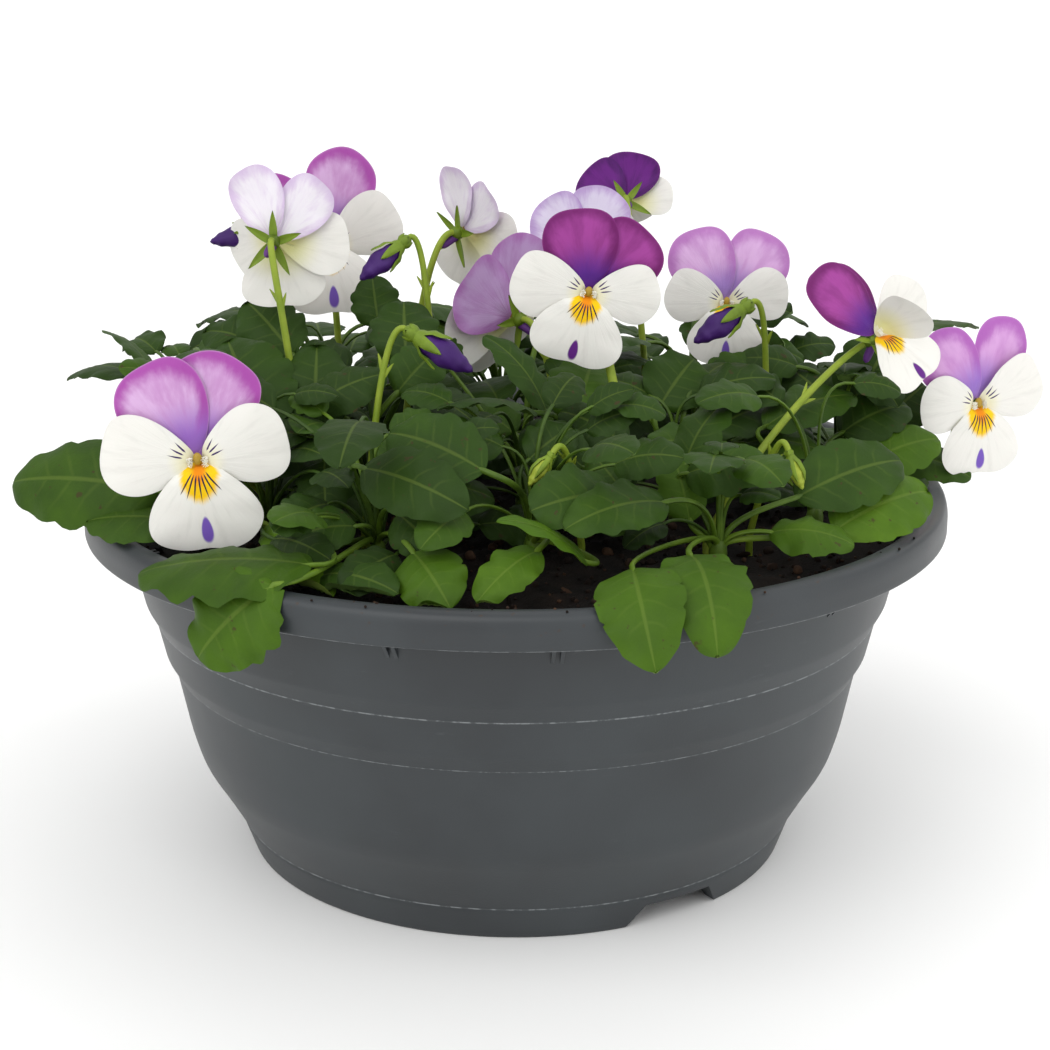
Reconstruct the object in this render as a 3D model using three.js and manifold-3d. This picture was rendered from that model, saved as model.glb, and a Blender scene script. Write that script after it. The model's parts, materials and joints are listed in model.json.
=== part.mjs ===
// A horned violet (Viola cornuta) in bloom, planted in a round plastic patio bowl.
// Millimetres, +Z up. The bowl's axis is vertical and its foot stands on z = 0.
// The viewing side is -Y. Every blade, petal and stalk is a closed solid of its own
// real thickness, fused to what it grows from.
import * as THREE from "three";
import { mergeVertices } from "three/addons/utils/BufferGeometryUtils.js";
import Module from "manifold-3d";

const wasm = await Module();
wasm.setup();

// ---------------------------------------------------------------- driving dimensions
const GAP = 0.3; // clearance between two pieces that touch
const WELD = 1e-4;

const POT = {
  segments: 32,
  rimRadius: 115,
  rimTop: 99.6,
  skirtBottom: 90.8,
  skirtWall: 2,
  wall: 2,
  footRadius: 73.8,
  footTop: 8.4,
  footWidth: 4,
  floorBottom: 4,
  floorTop: 8.4,
};
// Outer side of the bowl, from the foot up to the skirt: [radius, height].
const BOWL_SIDE = [
  [76.9, 9.4],
  [82.9, 20],
  [86.7, 26],
  [89.2, 33],
  [93.3, 53],
  [95.4, 57.6],
  [98.1, 67.4],
  [100.2, 72.6],
  [104.5, 90],
];
const NOTCH = { angles: [33, 213], topWidth: 20, bottomWidth: 30, height: 6.4 };
const DRAIN = { count: 8, radius: 4, circle: 48 };
const GUSSET = { angles: [-69, -5, 52, 111, 175, 232], spread: 8, width: 1.4, height: 5.5 };
const SOIL = { edge: 92.6, crown: 95, bump: 0.9 };

const STEM = { hole: 86, foot: 86.4, rim: 0.35 };
const LEAF_THICK = 0.8;
const PETAL_THICK = 0.7;
const STALK_RADIUS = 1.2;
const STALK_STEPS = 4;
const PETIOLE_RADIUS = 0.95;

const COLOURS = {
  plastic: "#4b4e50",
  soil: "#241b16",
  leaf: "#4a6a2f",
  stalk: "#86a03c",
  bud: "#4b1f73",
  white: "#f4f4ee",
};

// ---------------------------------------------------------------- small helpers
const vec = (x, y, z) => new THREE.Vector3(x, y, z);
const UP = vec(0, 0, 1);
const rad = THREE.MathUtils.degToRad;
const radii = (count, value) => Array(count).fill([value, value]);

// Repeatable draws between 0 and 1.
function drawsFrom(seed) {
  let state = seed;
  return () => {
    state = (state * 16807) % 2147483647;
    return state / 2147483647;
  };
}

// Right-handed frame of a blade or a bloom: across, along, and out of its face.
function frameOf(origin, along, face) {
  const y = along.clone().normalize();
  const z = face.clone().addScaledVector(y, -face.dot(y)).normalize();
  const x = y.clone().cross(z);
  return new THREE.Matrix4().makeBasis(x, y, z).setPosition(origin);
}

function geometryOf(points, faces) {
  const geometry = new THREE.BufferGeometry();
  const flat = points.flatMap((p) => [p.x, p.y, p.z]);
  geometry.setAttribute("position", new THREE.Float32BufferAttribute(flat, 3));
  geometry.setIndex(faces.flat());
  return geometry;
}

function solidOf(geometry) {
  const bare = geometry.index ? geometry.toNonIndexed() : geometry.clone();
  bare.deleteAttribute("normal");
  bare.deleteAttribute("uv");
  const merged = mergeVertices(bare, WELD);
  const mesh = new wasm.Mesh({
    numProp: 3,
    vertProperties: new Float32Array(merged.attributes.position.array),
    triVerts: new Uint32Array(merged.index.array),
  });
  return new wasm.Manifold(mesh);
}

const joined = (solids) => solids.reduce((all, next) => all.add(next));

function meshOf(name, solid, colour, roughness = 0.6) {
  const { vertProperties, triVerts } = solid.getMesh();
  const geometry = new THREE.BufferGeometry();
  geometry.setAttribute("position", new THREE.BufferAttribute(vertProperties, 3));
  geometry.setIndex(new THREE.BufferAttribute(triVerts, 1));
  geometry.computeVertexNormals();
  const material = new THREE.MeshStandardMaterial({ color: colour, roughness, metalness: 0 });
  const mesh = new THREE.Mesh(geometry, material);
  mesh.name = name;
  return mesh;
}

// A solid lofted along a path: an ellipse of half-axes sizes[i] at each point, with flat ends,
// or a pointed far end where there is one size fewer than points.
function rod(path, sizes, sides, side = vec(1, 0, 0.01)) {
  const rings = sizes.length;
  const pointed = rings < path.length;
  const points = [];
  const faces = [];
  path.slice(0, rings).forEach((at, i) => {
    const before = path[Math.max(i - 1, 0)];
    const after = path[Math.min(i + 1, path.length - 1)];
    const frame = frameOf(at, after.clone().sub(before), side);
    for (let k = 0; k < sides; k++) {
      const turn = (2 * Math.PI * k) / sides;
      const [a, b] = sizes[i];
      points.push(vec(a * Math.cos(turn), 0, -b * Math.sin(turn)).applyMatrix4(frame));
    }
  });
  for (let i = 0; i + 1 < rings; i++) {
    for (let k = 0; k < sides; k++) {
      const next = (k + 1) % sides;
      const [a, b] = [i * sides + k, i * sides + next];
      faces.push([a, b, b + sides], [a, b + sides, a + sides]);
    }
  }
  const last = (rings - 1) * sides;
  for (let k = 1; k + 1 < sides; k++) {
    faces.push([0, k + 1, k]);
    if (!pointed) faces.push([last, last + k, last + k + 1]);
  }
  if (pointed) {
    points.push(path[rings]);
    for (let k = 0; k < sides; k++) {
      faces.push([last + k, last + ((k + 1) % sides), points.length - 1]);
    }
  }
  return solidOf(geometryOf(points, faces));
}

// A thin sheet, split into triangles alike on both faces: halves[i] is the way and the
// distance from its middle to its upper face at points[i], or one for all points.
function sheet(points, faces, rim, halves) {
  const half = (i) => (Array.isArray(halves) ? halves[i] : halves);
  const count = points.length;
  const both = [
    ...points.map((p, i) => p.clone().add(half(i))),
    ...points.map((p, i) => p.clone().sub(half(i))),
  ];
  const under = faces.map(([a, b, c]) => [a + count, c + count, b + count]);
  const edge = rim.flatMap((a, i) => {
    const b = rim[(i + 1) % rim.length];
    return [[a, a + count, b + count], [a, b + count, b]];
  });
  return solidOf(geometryOf(both, [...faces, ...under, ...edge]));
}

// ---------------------------------------------------------------- the bowl
function turned(profile, segments) {
  const outline = profile.map(([r, z]) => new THREE.Vector2(r, z));
  return solidOf(new THREE.LatheGeometry(outline, segments).rotateX(Math.PI / 2));
}

// The smooth inside of the bowl, a wall's thickness in from its side.
const inner = (inset) => [0, 2, 4, 8].map((i) => [BOWL_SIDE[i][0] - inset, BOWL_SIDE[i][1]]);

function bowlBody() {
  const skirtIn = POT.rimRadius - POT.skirtWall;
  const shelf = POT.rimTop - 4.2;
  const footIn = POT.footRadius - POT.footWidth;
  return turned(
    [
      [0, POT.floorBottom],
      [footIn - 1, POT.floorBottom],
      [footIn, 0],
      [POT.footRadius, 0],
      [POT.footRadius + 3, POT.footTop],
      ...BOWL_SIDE,
      [105.6, shelf],
      [skirtIn - 0.4, shelf],
      [skirtIn, POT.skirtBottom],
      [POT.rimRadius, POT.skirtBottom],
      [POT.rimRadius, POT.rimTop - 3.2],
      [POT.rimRadius - 0.9, POT.rimTop - 0.8],
      [POT.rimRadius - 2.8, POT.rimTop],
      [110, POT.rimTop - 0.1],
      [108.2, POT.rimTop - 1.6],
      ...inner(POT.wall).reverse().slice(0, -1),
      [BOWL_SIDE[0][0] - 2.4, POT.floorTop],
      [0, POT.floorTop],
    ],
    POT.segments,
  );
}

// A prism from an outline in the plane across a radius, pushed out along that radius.
function radialPrism(outline, depth, distance, angle) {
  const shape = new THREE.Shape(outline.map(([x, z]) => new THREE.Vector2(x, z)));
  const geometry = new THREE.ExtrudeGeometry(shape, { depth, bevelEnabled: false });
  geometry.rotateX(Math.PI / 2).translate(0, -distance, 0).rotateZ(rad(angle));
  return solidOf(geometry);
}

function footNotch(angle) {
  const [top, bottom] = [NOTCH.topWidth / 2, NOTCH.bottomWidth / 2];
  const outline = [
    [-bottom, -1],
    [bottom, -1],
    [top, NOTCH.height],
    [-top, NOTCH.height],
  ];
  return radialPrism(outline, 2 * POT.footWidth + 6, POT.footRadius - POT.footWidth - 3, angle);
}

function drainHole(index) {
  const turn = (2 * Math.PI * index) / DRAIN.count;
  const hole = new THREE.CylinderGeometry(DRAIN.radius, DRAIN.radius, 8, 8);
  hole.rotateX(Math.PI / 2);
  hole.translate(DRAIN.circle * Math.cos(turn), DRAIN.circle * Math.sin(turn), POT.floorTop - 1);
  return solidOf(hole);
}

// A small triangular rib in the corner between the wall and the shelf of the rim.
function gusset(angle) {
  const [reach, top] = [6.5, POT.rimTop - 3.7];
  const shape = new THREE.Shape([
    new THREE.Vector2(-1, top),
    new THREE.Vector2(-1.8, top - GUSSET.height - 4),
    new THREE.Vector2(reach, top),
  ]);
  const rib = new THREE.ExtrudeGeometry(shape, { depth: GUSSET.width, bevelEnabled: false });
  rib.rotateX(Math.PI / 2).translate(105, GUSSET.width / 2, 0).rotateZ(rad(angle - 90));
  return solidOf(rib);
}

function makePot() {
  const ribs = GUSSET.angles.flatMap((a) => [a - GUSSET.spread / 2, a + GUSSET.spread / 2]);
  let pot = joined([bowlBody(), ...ribs.map(gusset)]);
  for (const angle of NOTCH.angles) pot = pot.subtract(footNotch(angle));
  for (let i = 0; i < DRAIN.count; i++) pot = pot.subtract(drainHole(i));
  return pot;
}

// ---------------------------------------------------------------- soil and what stands in it
function soilHeight(x, y) {
  const broad = Math.sin(x * 0.21 + 1.3) * Math.cos(y * 0.17);
  const lumps = broad + 0.6 * Math.sin(x * 0.37 - y * 0.43);
  const mound = 1 - (x * x + y * y) / 101 ** 2;
  return SOIL.edge + (SOIL.crown - SOIL.edge) * mound + SOIL.bump * lumps * Math.min(1, 4 * mound);
}

function makeSoil(stems) {
  const side = inner(POT.wall + GAP).slice(1, -1);
  const outline = [
    [0, POT.floorTop + GAP],
    [BOWL_SIDE[0][0] - 2.4 - GAP, POT.floorTop + GAP],
    ...side,
    [102.35, SOIL.edge],
    [84, SOIL.edge],
    [60, SOIL.edge],
    [32, SOIL.edge],
    [0, SOIL.edge],
  ].map(([r, z]) => new THREE.Vector2(r, z));
  const geometry = new THREE.LatheGeometry(outline, POT.segments).rotateX(Math.PI / 2);
  const position = geometry.attributes.position;
  for (let i = 0; i < position.count; i++) {
    const [x, y, z] = [position.getX(i), position.getY(i), position.getZ(i)];
    if (z > SOIL.edge - 0.01 && Math.hypot(x, y) < 95) position.setZ(i, soilHeight(x, y));
  }
  let soil = solidOf(geometry);
  for (const { x, y, radius } of stems) {
    const size = radius + STEM.rim;
    soil = soil.subtract(rod([vec(x, y, STEM.hole), vec(x, y, 101)], radii(2, size), 5));
  }
  return soil;
}

// ---------------------------------------------------------------- blooms
// Petals in the bloom's own frame at full size: x to its right, y up, z out of its face.
// start: where the claw sits; turn: degrees clockwise from up; depth: how far forward.
const UPPER_PETALS = [
  { start: [-1, 1.5], turn: -19, length: 24, width: 24.5, depth: 0.5, obovate: 0.3 },
  { start: [1, 1.5], turn: 21, length: 24, width: 24.5, depth: -0.5, obovate: 0.3 },
];
const WHITE_PETALS = [
  { start: [-1, 0.6], turn: -86, length: 21.5, width: 20, depth: 1.95, obovate: 0.38 },
  { start: [1, 0.6], turn: 84, length: 21.5, width: 20, depth: 2.2, obovate: 0.38 },
  { start: [0, 0], turn: 180, length: 21.5, width: 27, depth: 3, obovate: 0.42, notch: 1.3 },
];
const PETAL_POINTS = 10;
const PETAL_CUP = 0.5; // the middle of a petal stands this far in front of its edge

// Outline point of a petal at angle t from its claw, as [across, along].
function petalPoint(petal, t) {
  const broad = 1 - petal.obovate * Math.cos(t);
  const across = (petal.width / 2) * Math.sin(t) * broad / (1 + 0.3 * petal.obovate);
  const dip = petal.notch ? petal.notch * Math.exp(-(((t - Math.PI) / 0.22) ** 2)) : 0;
  return [across, (petal.length / 2) * (1 - Math.cos(t)) - dip];
}

function petal(shape, frame) {
  const turned = rad(-shape.turn);
  const place = ([across, along], lift) => {
    const x = shape.start[0] + across * Math.cos(turned) - along * Math.sin(turned);
    const y = shape.start[1] + across * Math.sin(turned) + along * Math.cos(turned);
    return vec(x, y, shape.depth + lift).applyMatrix4(frame);
  };
  const points = [place([0, shape.length * 0.5], PETAL_CUP)];
  const faces = [];
  for (let k = 0; k < PETAL_POINTS; k++) {
    points.push(place(petalPoint(shape, (2 * Math.PI * k) / PETAL_POINTS), 0));
    faces.push([0, 1 + k, 1 + ((k + 1) % PETAL_POINTS)]);
  }
  const rim = faces.map(([, a]) => a);
  const half = vec(0, 0, 1).transformDirection(frame).multiplyScalar(PETAL_THICK / 2);
  return sheet(points, faces, rim, half);
}

// A short disc behind the eye of the bloom that the claws of its petals grow from.
const THROAT_RADIUS = 2.4;
const UPPER_THROAT = { sides: 3, height: 2.4, from: -0.8, to: 0.8 };
const WHITE_THROAT = { sides: 4, height: 0.2, from: 1.5, to: 3.4 };

function throat(frame, { sides, height, from, to }, size) {
  const ends = [vec(0, height, from), vec(0, height, to)].map((p) => p.applyMatrix4(frame));
  const side = vec(1, 0, 0).transformDirection(frame);
  return rod(ends, radii(2, THROAT_RADIUS * size), sides, side);
}

// A pointed green sepal: a flat three-sided spike from the receptacle.
function sepal(frame, start, turn, back, length, width) {
  const angle = rad(turn);
  const out = vec(Math.sin(angle), Math.cos(angle), 0);
  const at = (distance, lift) => out.clone().multiplyScalar(distance).add(vec(0, 0, lift));
  const path = [at(1.4, start), at(length, -2.3 - back)].map((p) => p.applyMatrix4(frame));
  const side = vec(0, 0, 1).transformDirection(frame);
  return rod(path, [[width / 2, 0.55]], 3, side);
}

// Each sepal: where it starts behind the petals, its turn from up, how far its tip bends
// back, its length and its width.
const SEPALS = [
  [-2.35, 8, 1.5, 9, 3],
  [-2.5, -62, 2, 9, 3],
  [-2.65, 68, 2, 9, 3],
  [-2.8, -142, 1.2, 10.5, 3.2],
  [-2.95, 146, 1.2, 10.5, 3.2],
];
const RECEPTACLE = { front: -1.35, back: -5, radius: 2.3, neck: 1.5 };
const SPUR = { back: -9, drop: -4.2, radius: 1.5 };

// Flower stalk: straight up out of the soil, then over into the back of the bloom or bud.
function stalkPath(foot, end, outward, hook) {
  const start = vec(foot[0], foot[1], STEM.foot);
  const rise = end.z - start.z;
  const arrive = end.clone().addScaledVector(outward, -hook).add(vec(0, 0, hook * 0.35));
  const mid = vec(foot[0] + (end.x - foot[0]) * 0.25, foot[1] + (end.y - foot[1]) * 0.25, 0);
  mid.z = start.z + rise * 0.62;
  return [start, vec(foot[0], foot[1], STEM.foot + 12), mid, arrive, end];
}

function stalk(foot, end, outward, hook, radius) {
  const [start, collar, mid, arrive, tip] = stalkPath(foot, end, outward, hook);
  const curve = new THREE.CubicBezierCurve3(collar, mid, arrive, tip);
  const path = [start, ...curve.getPoints(STALK_STEPS)];
  return rod(path, radii(path.length, radius), 4);
}

// Where a bloom faces: azimuth from -Y towards +X, height above level, and roll clockwise.
function bloomFrame({ at, azimuth, height, roll, size }) {
  const [a, e] = [rad(azimuth), rad(height)];
  const face = vec(Math.sin(a) * Math.cos(e), -Math.cos(a) * Math.cos(e), Math.sin(e));
  const upright = UP.clone().addScaledVector(face, -face.z).normalize();
  upright.applyAxisAngle(face, -rad(roll));
  const frame = frameOf(vec(...at), upright, face);
  return frame.multiply(new THREE.Matrix4().makeScale(size, size, size));
}

const BLOOMS = [
  {
    at: [-75, -62, 118.5], azimuth: -3, height: 3, roll: -5, size: 1,
    foot: [-60, -34], lilac: "#b565c0",
  },
  {
    at: [16.4, -25, 151.6], azimuth: 0, height: 0, roll: 14, size: 0.82,
    foot: [30, -34], lilac: "#8a2f93",
  },
  {
    at: [-62, -9, 165], azimuth: 172, height: -6, roll: -9, size: 0.82,
    foot: [-54, -26], lilac: "#dccbe8",
  },
  {
    at: [-50.3, 18, 159.3], azimuth: 6, height: 0, roll: -13, size: 0.92,
    foot: [-48, 26], lilac: "#b352b8",
  },
  {
    at: [-11.5, 23, 163], azimuth: 128, height: 4, roll: 6, size: 0.82,
    foot: [-32, 16], lilac: "#dccbe8",
  },
  {
    at: [-2, 6, 139.5], azimuth: -128, height: 0, roll: 22, size: 0.86,
    foot: [14, -2], lilac: "#a873c4",
  },
  {
    at: [31, 58, 168], azimuth: 175, height: -24, roll: 24, size: 0.72,
    foot: [38, 34], lilac: "#5b1f74",
  },
  {
    at: [22, 30, 158], azimuth: 182, height: -16, roll: 12, size: 0.8,
    foot: [24, 14], lilac: "#d5c3e6",
  },
  {
    at: [58, 15, 145.3], azimuth: 4, height: 4, roll: 2, size: 0.76,
    foot: [56, 22], lilac: "#bd7fcc",
  },
  {
    at: [92.5, -20, 145.5], azimuth: 74, height: 44, roll: 0, size: 0.78,
    foot: [47, -54], lilac: "#8c2c96",
  },
  {
    at: [124, 0, 120], azimuth: 24, height: 0, roll: -4, size: 0.88,
    foot: [82, 14], lilac: "#b873ca",
  },
];

const BUDS = [
  { at: [-67, 5, 165.5], point: [-1, -0.1, -0.18], foot: [-63, 2], size: 0.9 },
  { at: [-29.5, -5, 164], point: [-0.75, -0.3, -0.6], foot: [-20, -8], size: 0.95 },
  { at: [59.5, -8, 147.5], point: [-0.8, -0.25, -0.5], foot: [68, 2], size: 1.05 },
  { at: [-25, -41, 145], point: [0.85, -0.2, -0.5], foot: [-38, -46], size: 1.1 },
];
const GREEN_BUDS = [
  { at: [6, -70, 123.5], point: [-0.6, -0.3, -0.75], foot: [16, -58], size: 0.7 },
  { at: [66, -60, 122], point: [0.35, -0.2, -0.9], foot: [58, -50], size: 0.7 },
];

function makeBloom(bloom, number) {
  const frame = bloomFrame(bloom);
  const outward = vec(0, 0, 1).transformDirection(frame);
  const back = vec(0, 0.6, RECEPTACLE.back + 0.8).applyMatrix4(frame);
  const [upper, white] = [
    [UPPER_THROAT, UPPER_PETALS],
    [WHITE_THROAT, WHITE_PETALS],
  ].map(([disc, petals]) => {
    return joined([throat(frame, disc, bloom.size), ...petals.map((p) => petal(p, frame))]);
  });
  const hub = [vec(0, 0.2, RECEPTACLE.front), vec(0, 0.6, RECEPTACLE.back)];
  const spur = [vec(0, -0.4, -2.4), vec(0, SPUR.drop, SPUR.back)];
  const side = vec(1, 0, 0).transformDirection(frame);
  const hubRadii = [RECEPTACLE.radius * bloom.size, RECEPTACLE.neck * bloom.size];
  const hubSizes = hubRadii.map((r) => [r, r]);
  const spurSizes = radii(2, SPUR.radius * bloom.size);
  const green = joined([
    rod(hub.map((p) => p.applyMatrix4(frame)), hubSizes, 5, side),
    rod(spur.map((p) => p.applyMatrix4(frame)), spurSizes, 4, side),
    ...SEPALS.map((shape) => sepal(frame, ...shape)),
    stalk(bloom.foot, back, outward, 9, STALK_RADIUS),
  ]);
  return [
    meshOf(`bloom_${number}_upper_petals`, upper, bloom.lilac),
    meshOf(`bloom_${number}_white_petals`, white, COLOURS.white),
    meshOf(`bloom_${number}_stalk`, green, COLOURS.stalk),
  ];
}

function budFrame({ at, point, size }) {
  const along = vec(...point).normalize();
  const frame = frameOf(vec(...at), along, UP);
  return frame.multiply(new THREE.Matrix4().makeScale(size, size, size));
}

// Furled petals, pointed: half-width and height along the bud's own +Y.
const BUD_BODY = [
  [1.5, 1.4, 1.3],
  [4, 3.1, 2.7],
  [8, 3.7, 3.2],
  [12, 2.3, 2],
  [15.5, 0.4, 0.4],
];
const BUD_SEPALS = [10, 100, 190, 280];

function budBody(bud, frame) {
  const path = BUD_BODY.map(([along]) => vec(0, along, 0).applyMatrix4(frame));
  const sizes = BUD_BODY.map(([, a, b]) => [a * bud.size, b * bud.size]);
  return rod(path, sizes, 6, vec(1, 0, 0).transformDirection(frame));
}

// Green cup, short sepals lying along the bud, and the hooked stalk.
function budStalk(bud, frame, sepalTurns, cupEnd) {
  const size = (a) => [a * bud.size, a * bud.size];
  const cup = [-2.4, -0.6, cupEnd].map((along) => vec(0, along, 0).applyMatrix4(frame));
  const side = vec(1, 0, 0).transformDirection(frame);
  const sepals = sepalTurns.map((turn) => {
    const [c, s] = [Math.cos(rad(turn)), Math.sin(rad(turn))];
    const rise = [
      [1, -0.9],
      [4.3, 3.6],
      [5.4, 8],
    ];
    const path = rise.map(([out, along]) => vec(out * c, along, out * s).applyMatrix4(frame));
    const across = vec(-s, 0, c).transformDirection(frame);
    return rod(path, [[0.9, 0.5], [1.1, 0.5]], 3, across);
  });
  const outward = vec(0, 1, 0).transformDirection(frame);
  const end = vec(0, -1.6, 0).applyMatrix4(frame);
  const foot = stalk(bud.foot, end, outward, 7, STALK_RADIUS * 0.9);
  return joined([rod(cup, [size(1.3), size(1.9), size(1.7)], 5, side), ...sepals, foot]);
}

// ---------------------------------------------------------------- leafy stems
// Where each leafy stem leaves the soil.
const CROWNS = {
  a: [-62, -44],
  b: [-34, -62],
  c: [4, -60],
  d: [49, -63],
  e: [76, -36],
  f: [-84, -12],
  g: [-38, -22],
  h: [2, -20],
  i: [42, -22],
  j: [88, 4],
  k: [-54, 36],
  l: [-4, 42],
  m: [50, 44],
};
const CROWN = { radius: 2.3, top: 102, neck: 100.6, node: 0.43 };

// Blades of the viewing side: stem, where the blade starts, where its tip hangs,
// its width, and the way its upper face looks.
const PLACED = [
  ["a", [-88, -50, 110], [-128, -34, 108], 24, [-2, -8, 6]],
  ["a", [-80, -64, 106], [-103, -60, 103], 15, [0, -5, 8]],
  ["a", [-55, -68, 101], [-86, -82, 103], 19, [0, -7, 7]],
  ["b", [-50, -79, 103], [-74, -99, 89], 19, [-3, -8, 5]],
  ["d", [24, -92, 106], [28, -122, 87], 20, [-1, -8, 6]],
  ["d", [43, -86, 107], [45, -114, 90], 21, [1, -8, 6]],
  ["d", [68, -60, 111], [96, -44, 116], 19, [1, -7, 7]],
  ["d", [77, -62, 103], [103, -44, 108], 19, [2, -6, 8]],
  ["d", [61, -66, 104], [81, -70, 102], 15, [0, -4, 9]],
  ["c", [-6, -77, 122], [-30, -66, 128], 19, [0, -7, 7]],
  ["b", [-36, -73, 122], [-11, -88, 116], 17, [-2, -7, 7]],
  ["c", [24, -73, 119], [4, -86, 118], 19, [0, -8, 6]],
  ["d", [35, -78, 113], [11, -90, 110], 16, [0, -5, 8]],
  ["c", [22, -84, 105], [-3, -92, 119], 11, [0, -1, 9]],
  ["d", [41, -60, 117], [60, -70, 121], 15, [0, -7, 7]],
  ["d", [41, -56, 118], [52, -46, 132], 14, [-6, -6, 3]],
  ["c", [5, -87, 106], [-9, -101, 98], 12, [-2, -7, 6]],
  ["b", [-24, -85, 105], [-15, -99, 96], 17, [0, -7, 7]],
  ["b", [-50, -82, 100], [-33, -95, 98], 13, [0, -4, 8]],
  ["g", [-48, -42, 126], [-29, -34, 134], 15, [0, -7, 7]],
  ["f", [-96, -6, 130], [-110, 4, 139], 13, [-3, 5, 8]],
  ["a", [-63, -40, 122], [-74, -18, 141], 25, [0, -8, 6]],
  ["f", [-67, -4, 136], [-83, 4, 139], 14, [0, -5, 8]],
  ["g", [-57, -6, 135], [-69, 6, 147], 18, [0, -8, 5]],
  ["g", [-51, -36, 124], [-51, -20, 142], 19, [1, -8, 5]],
  ["j", [102, -14, 110], [128, -10, 97], 17, [0, -7, 7]],
  ["j", [89, -2, 120], [101, 6, 137], 20, [0, -9, 3]],
  ["e", [90, -22, 109], [111, -14, 114], 16, [0, -7, 7]],
  ["e", [85, -16, 116], [104, -6, 121], 16, [0, -6, 8]],
  ["i", [49, -28, 119], [72, -14, 123], 15, [0, -5, 8]],
  ["e", [63, -30, 119], [88, -16, 124], 15, [0, -5, 8]],
  ["i", [60, -8, 121], [46, 4, 128], 18, [0, -7, 7]],
  ["h", [22, -34, 126], [27, -18, 136], 22, [0, -8, 6]],
  ["i", [37, -20, 124], [47, -7, 134], 18, [0, -8, 6]],
  ["h", [5, -47, 129], [-19, -56, 132], 14, [0, 1, 9]],
  ["h", [8, -36, 126], [-8, -26, 144], 10, [7, -6, 3]],
  ["g", [-28, -24, 137], [-29, -11, 150], 18, [0, -9, 3]],
  ["g", [-36, -5, 142], [-38, 3, 154], 13, [0, -9, 3]],
  ["g", [-30, -34, 131], [-19, -26, 141], 14, [0, -8, 5]],
  ["b", [-47, -51, 118], [-46, -63, 108], 14, [0, -9, 4]],
  ["a", [-53, -63, 104], [-35, -75, 101], 14, [0, -7, 7]],
  ["b", [-28, -74, 111], [-18, -84, 104], 13, [0, -8, 6]],
  ["c", [17, -56, 120], [2, -44, 128], 15, [0, -8, 6]],
  ["i", [27, -48, 121], [11, -37, 127], 14, [0, -7, 7]],
  ["c", [26, -60, 116], [15, -50, 124], 14, [0, -8, 6]],
  ["a", [-60, -59, 107], [-46, -70, 105], 14, [0, -7, 7]],
  ["d", [42, -64, 106], [38, -52, 121], 12, [0, -8, 6]],
];

// Further blades, spread round their stem by the golden angle, away from the viewing side:
// stem, how many, the azimuth of the first in degrees from +X.
const SPREAD = [
  ["f", 2, 150],
  ["k", 5, 95],
  ["l", 5, 60],
  ["m", 5, 20],
  ["j", 2, 30],
  ["h", 1, 80],
  ["i", 1, 50],
];
const GOLDEN_ANGLE = 137.5;
const SPREAD_SEED = 4127;

function spreadBlades() {
  const draw = drawsFrom(SPREAD_SEED);
  return SPREAD.flatMap(([stem, count, first]) =>
    Array.from({ length: count }, (_, i) => {
      const turn = rad(first + i * GOLDEN_ANGLE + 20 * (draw() - 0.5));
      const [reach, rise, length] = [10 + 14 * draw(), 18 + 22 * draw(), 19 + 9 * draw()];
      const [c, s] = [Math.cos(turn), Math.sin(turn)];
      const [x, y] = CROWNS[stem];
      const base = [x + reach * c, y + reach * s, CROWN.neck + rise];
      const dip = 2 - 8 * draw();
      const tip = [base[0] + length * c, base[1] + length * s, base[2] + dip];
      return [stem, base, tip, length * 0.66, [3 * c, 3 * s, 8]];
    }),
  );
}

// Where a blade cannot stay it is lifted, swung about its stem or grown a little smaller:
// [lift, swing in degrees, size].
const TRIES = [
  [0, 0, 1],
  [2, 0, 1],
  [-2, 0, 1],
  [0, 5, 1],
  [0, -5, 1],
  [3.5, 0, 0.95],
  [-3, 4, 0.95],
  [-3, -4, 0.95],
  [3, 8, 0.92],
  [3, -8, 0.92],
  [5, 0, 0.9],
  [0, 0, 0.85],
  [6, 6, 0.85],
  [6, -6, 0.85],
  [-2, 12, 0.8],
  [-2, -12, 0.8],
  [8, 0, 0.8],
  [2, 0, 0.72],
  [9, 10, 0.72],
  [9, -10, 0.72],
];

const LEAF = { arch: 0.12, tooth: 0.07, longFrom: 25 };

// Half-width of a blade at the share s of its length, as a share of half its full width.
const bladeWidth = (s) => Math.sin(Math.PI * s ** 0.85) ** 0.6;

// level: how many leaves are above this one on its stem.
function leafPlace([stem, base, tip, width, face], level, [lift, swing, size]) {
  const [x, y] = CROWNS[stem];
  const swung = (p) => {
    const about = vec(p[0] - x, p[1] - y, p[2] + lift).applyAxisAngle(UP, rad(swing));
    return about.add(vec(x, y, 0));
  };
  const from = swung(base);
  const along = swung(tip).sub(from);
  const length = along.length() * size;
  const looks = vec(...face).applyAxisAngle(UP, rad(swing));
  return { from, length, level, width: width * size, frame: frameOf(from, along, looks) };
}

// The petiole's path from its stem up and out into the start of the blade.
function petiolePath(stem, { from, frame, level }) {
  const along = vec(0, 1, 0).transformDirection(frame);
  const root = vec(...CROWNS[stem], CROWN.neck - CROWN.node * level);
  root.add(vec(from.x - root.x, from.y - root.y, 0).setLength(1.1));
  const span = from.distanceTo(root);
  const rise = root.clone().add(vec(0, 0, Math.max(4, (from.z - root.z) * 0.6)));
  const arrive = from.clone().addScaledVector(along, -0.35 * span);
  arrive.z = Math.max(arrive.z, CROWN.neck);
  return new THREE.CubicBezierCurve3(root, rise, arrive, from);
}

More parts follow.
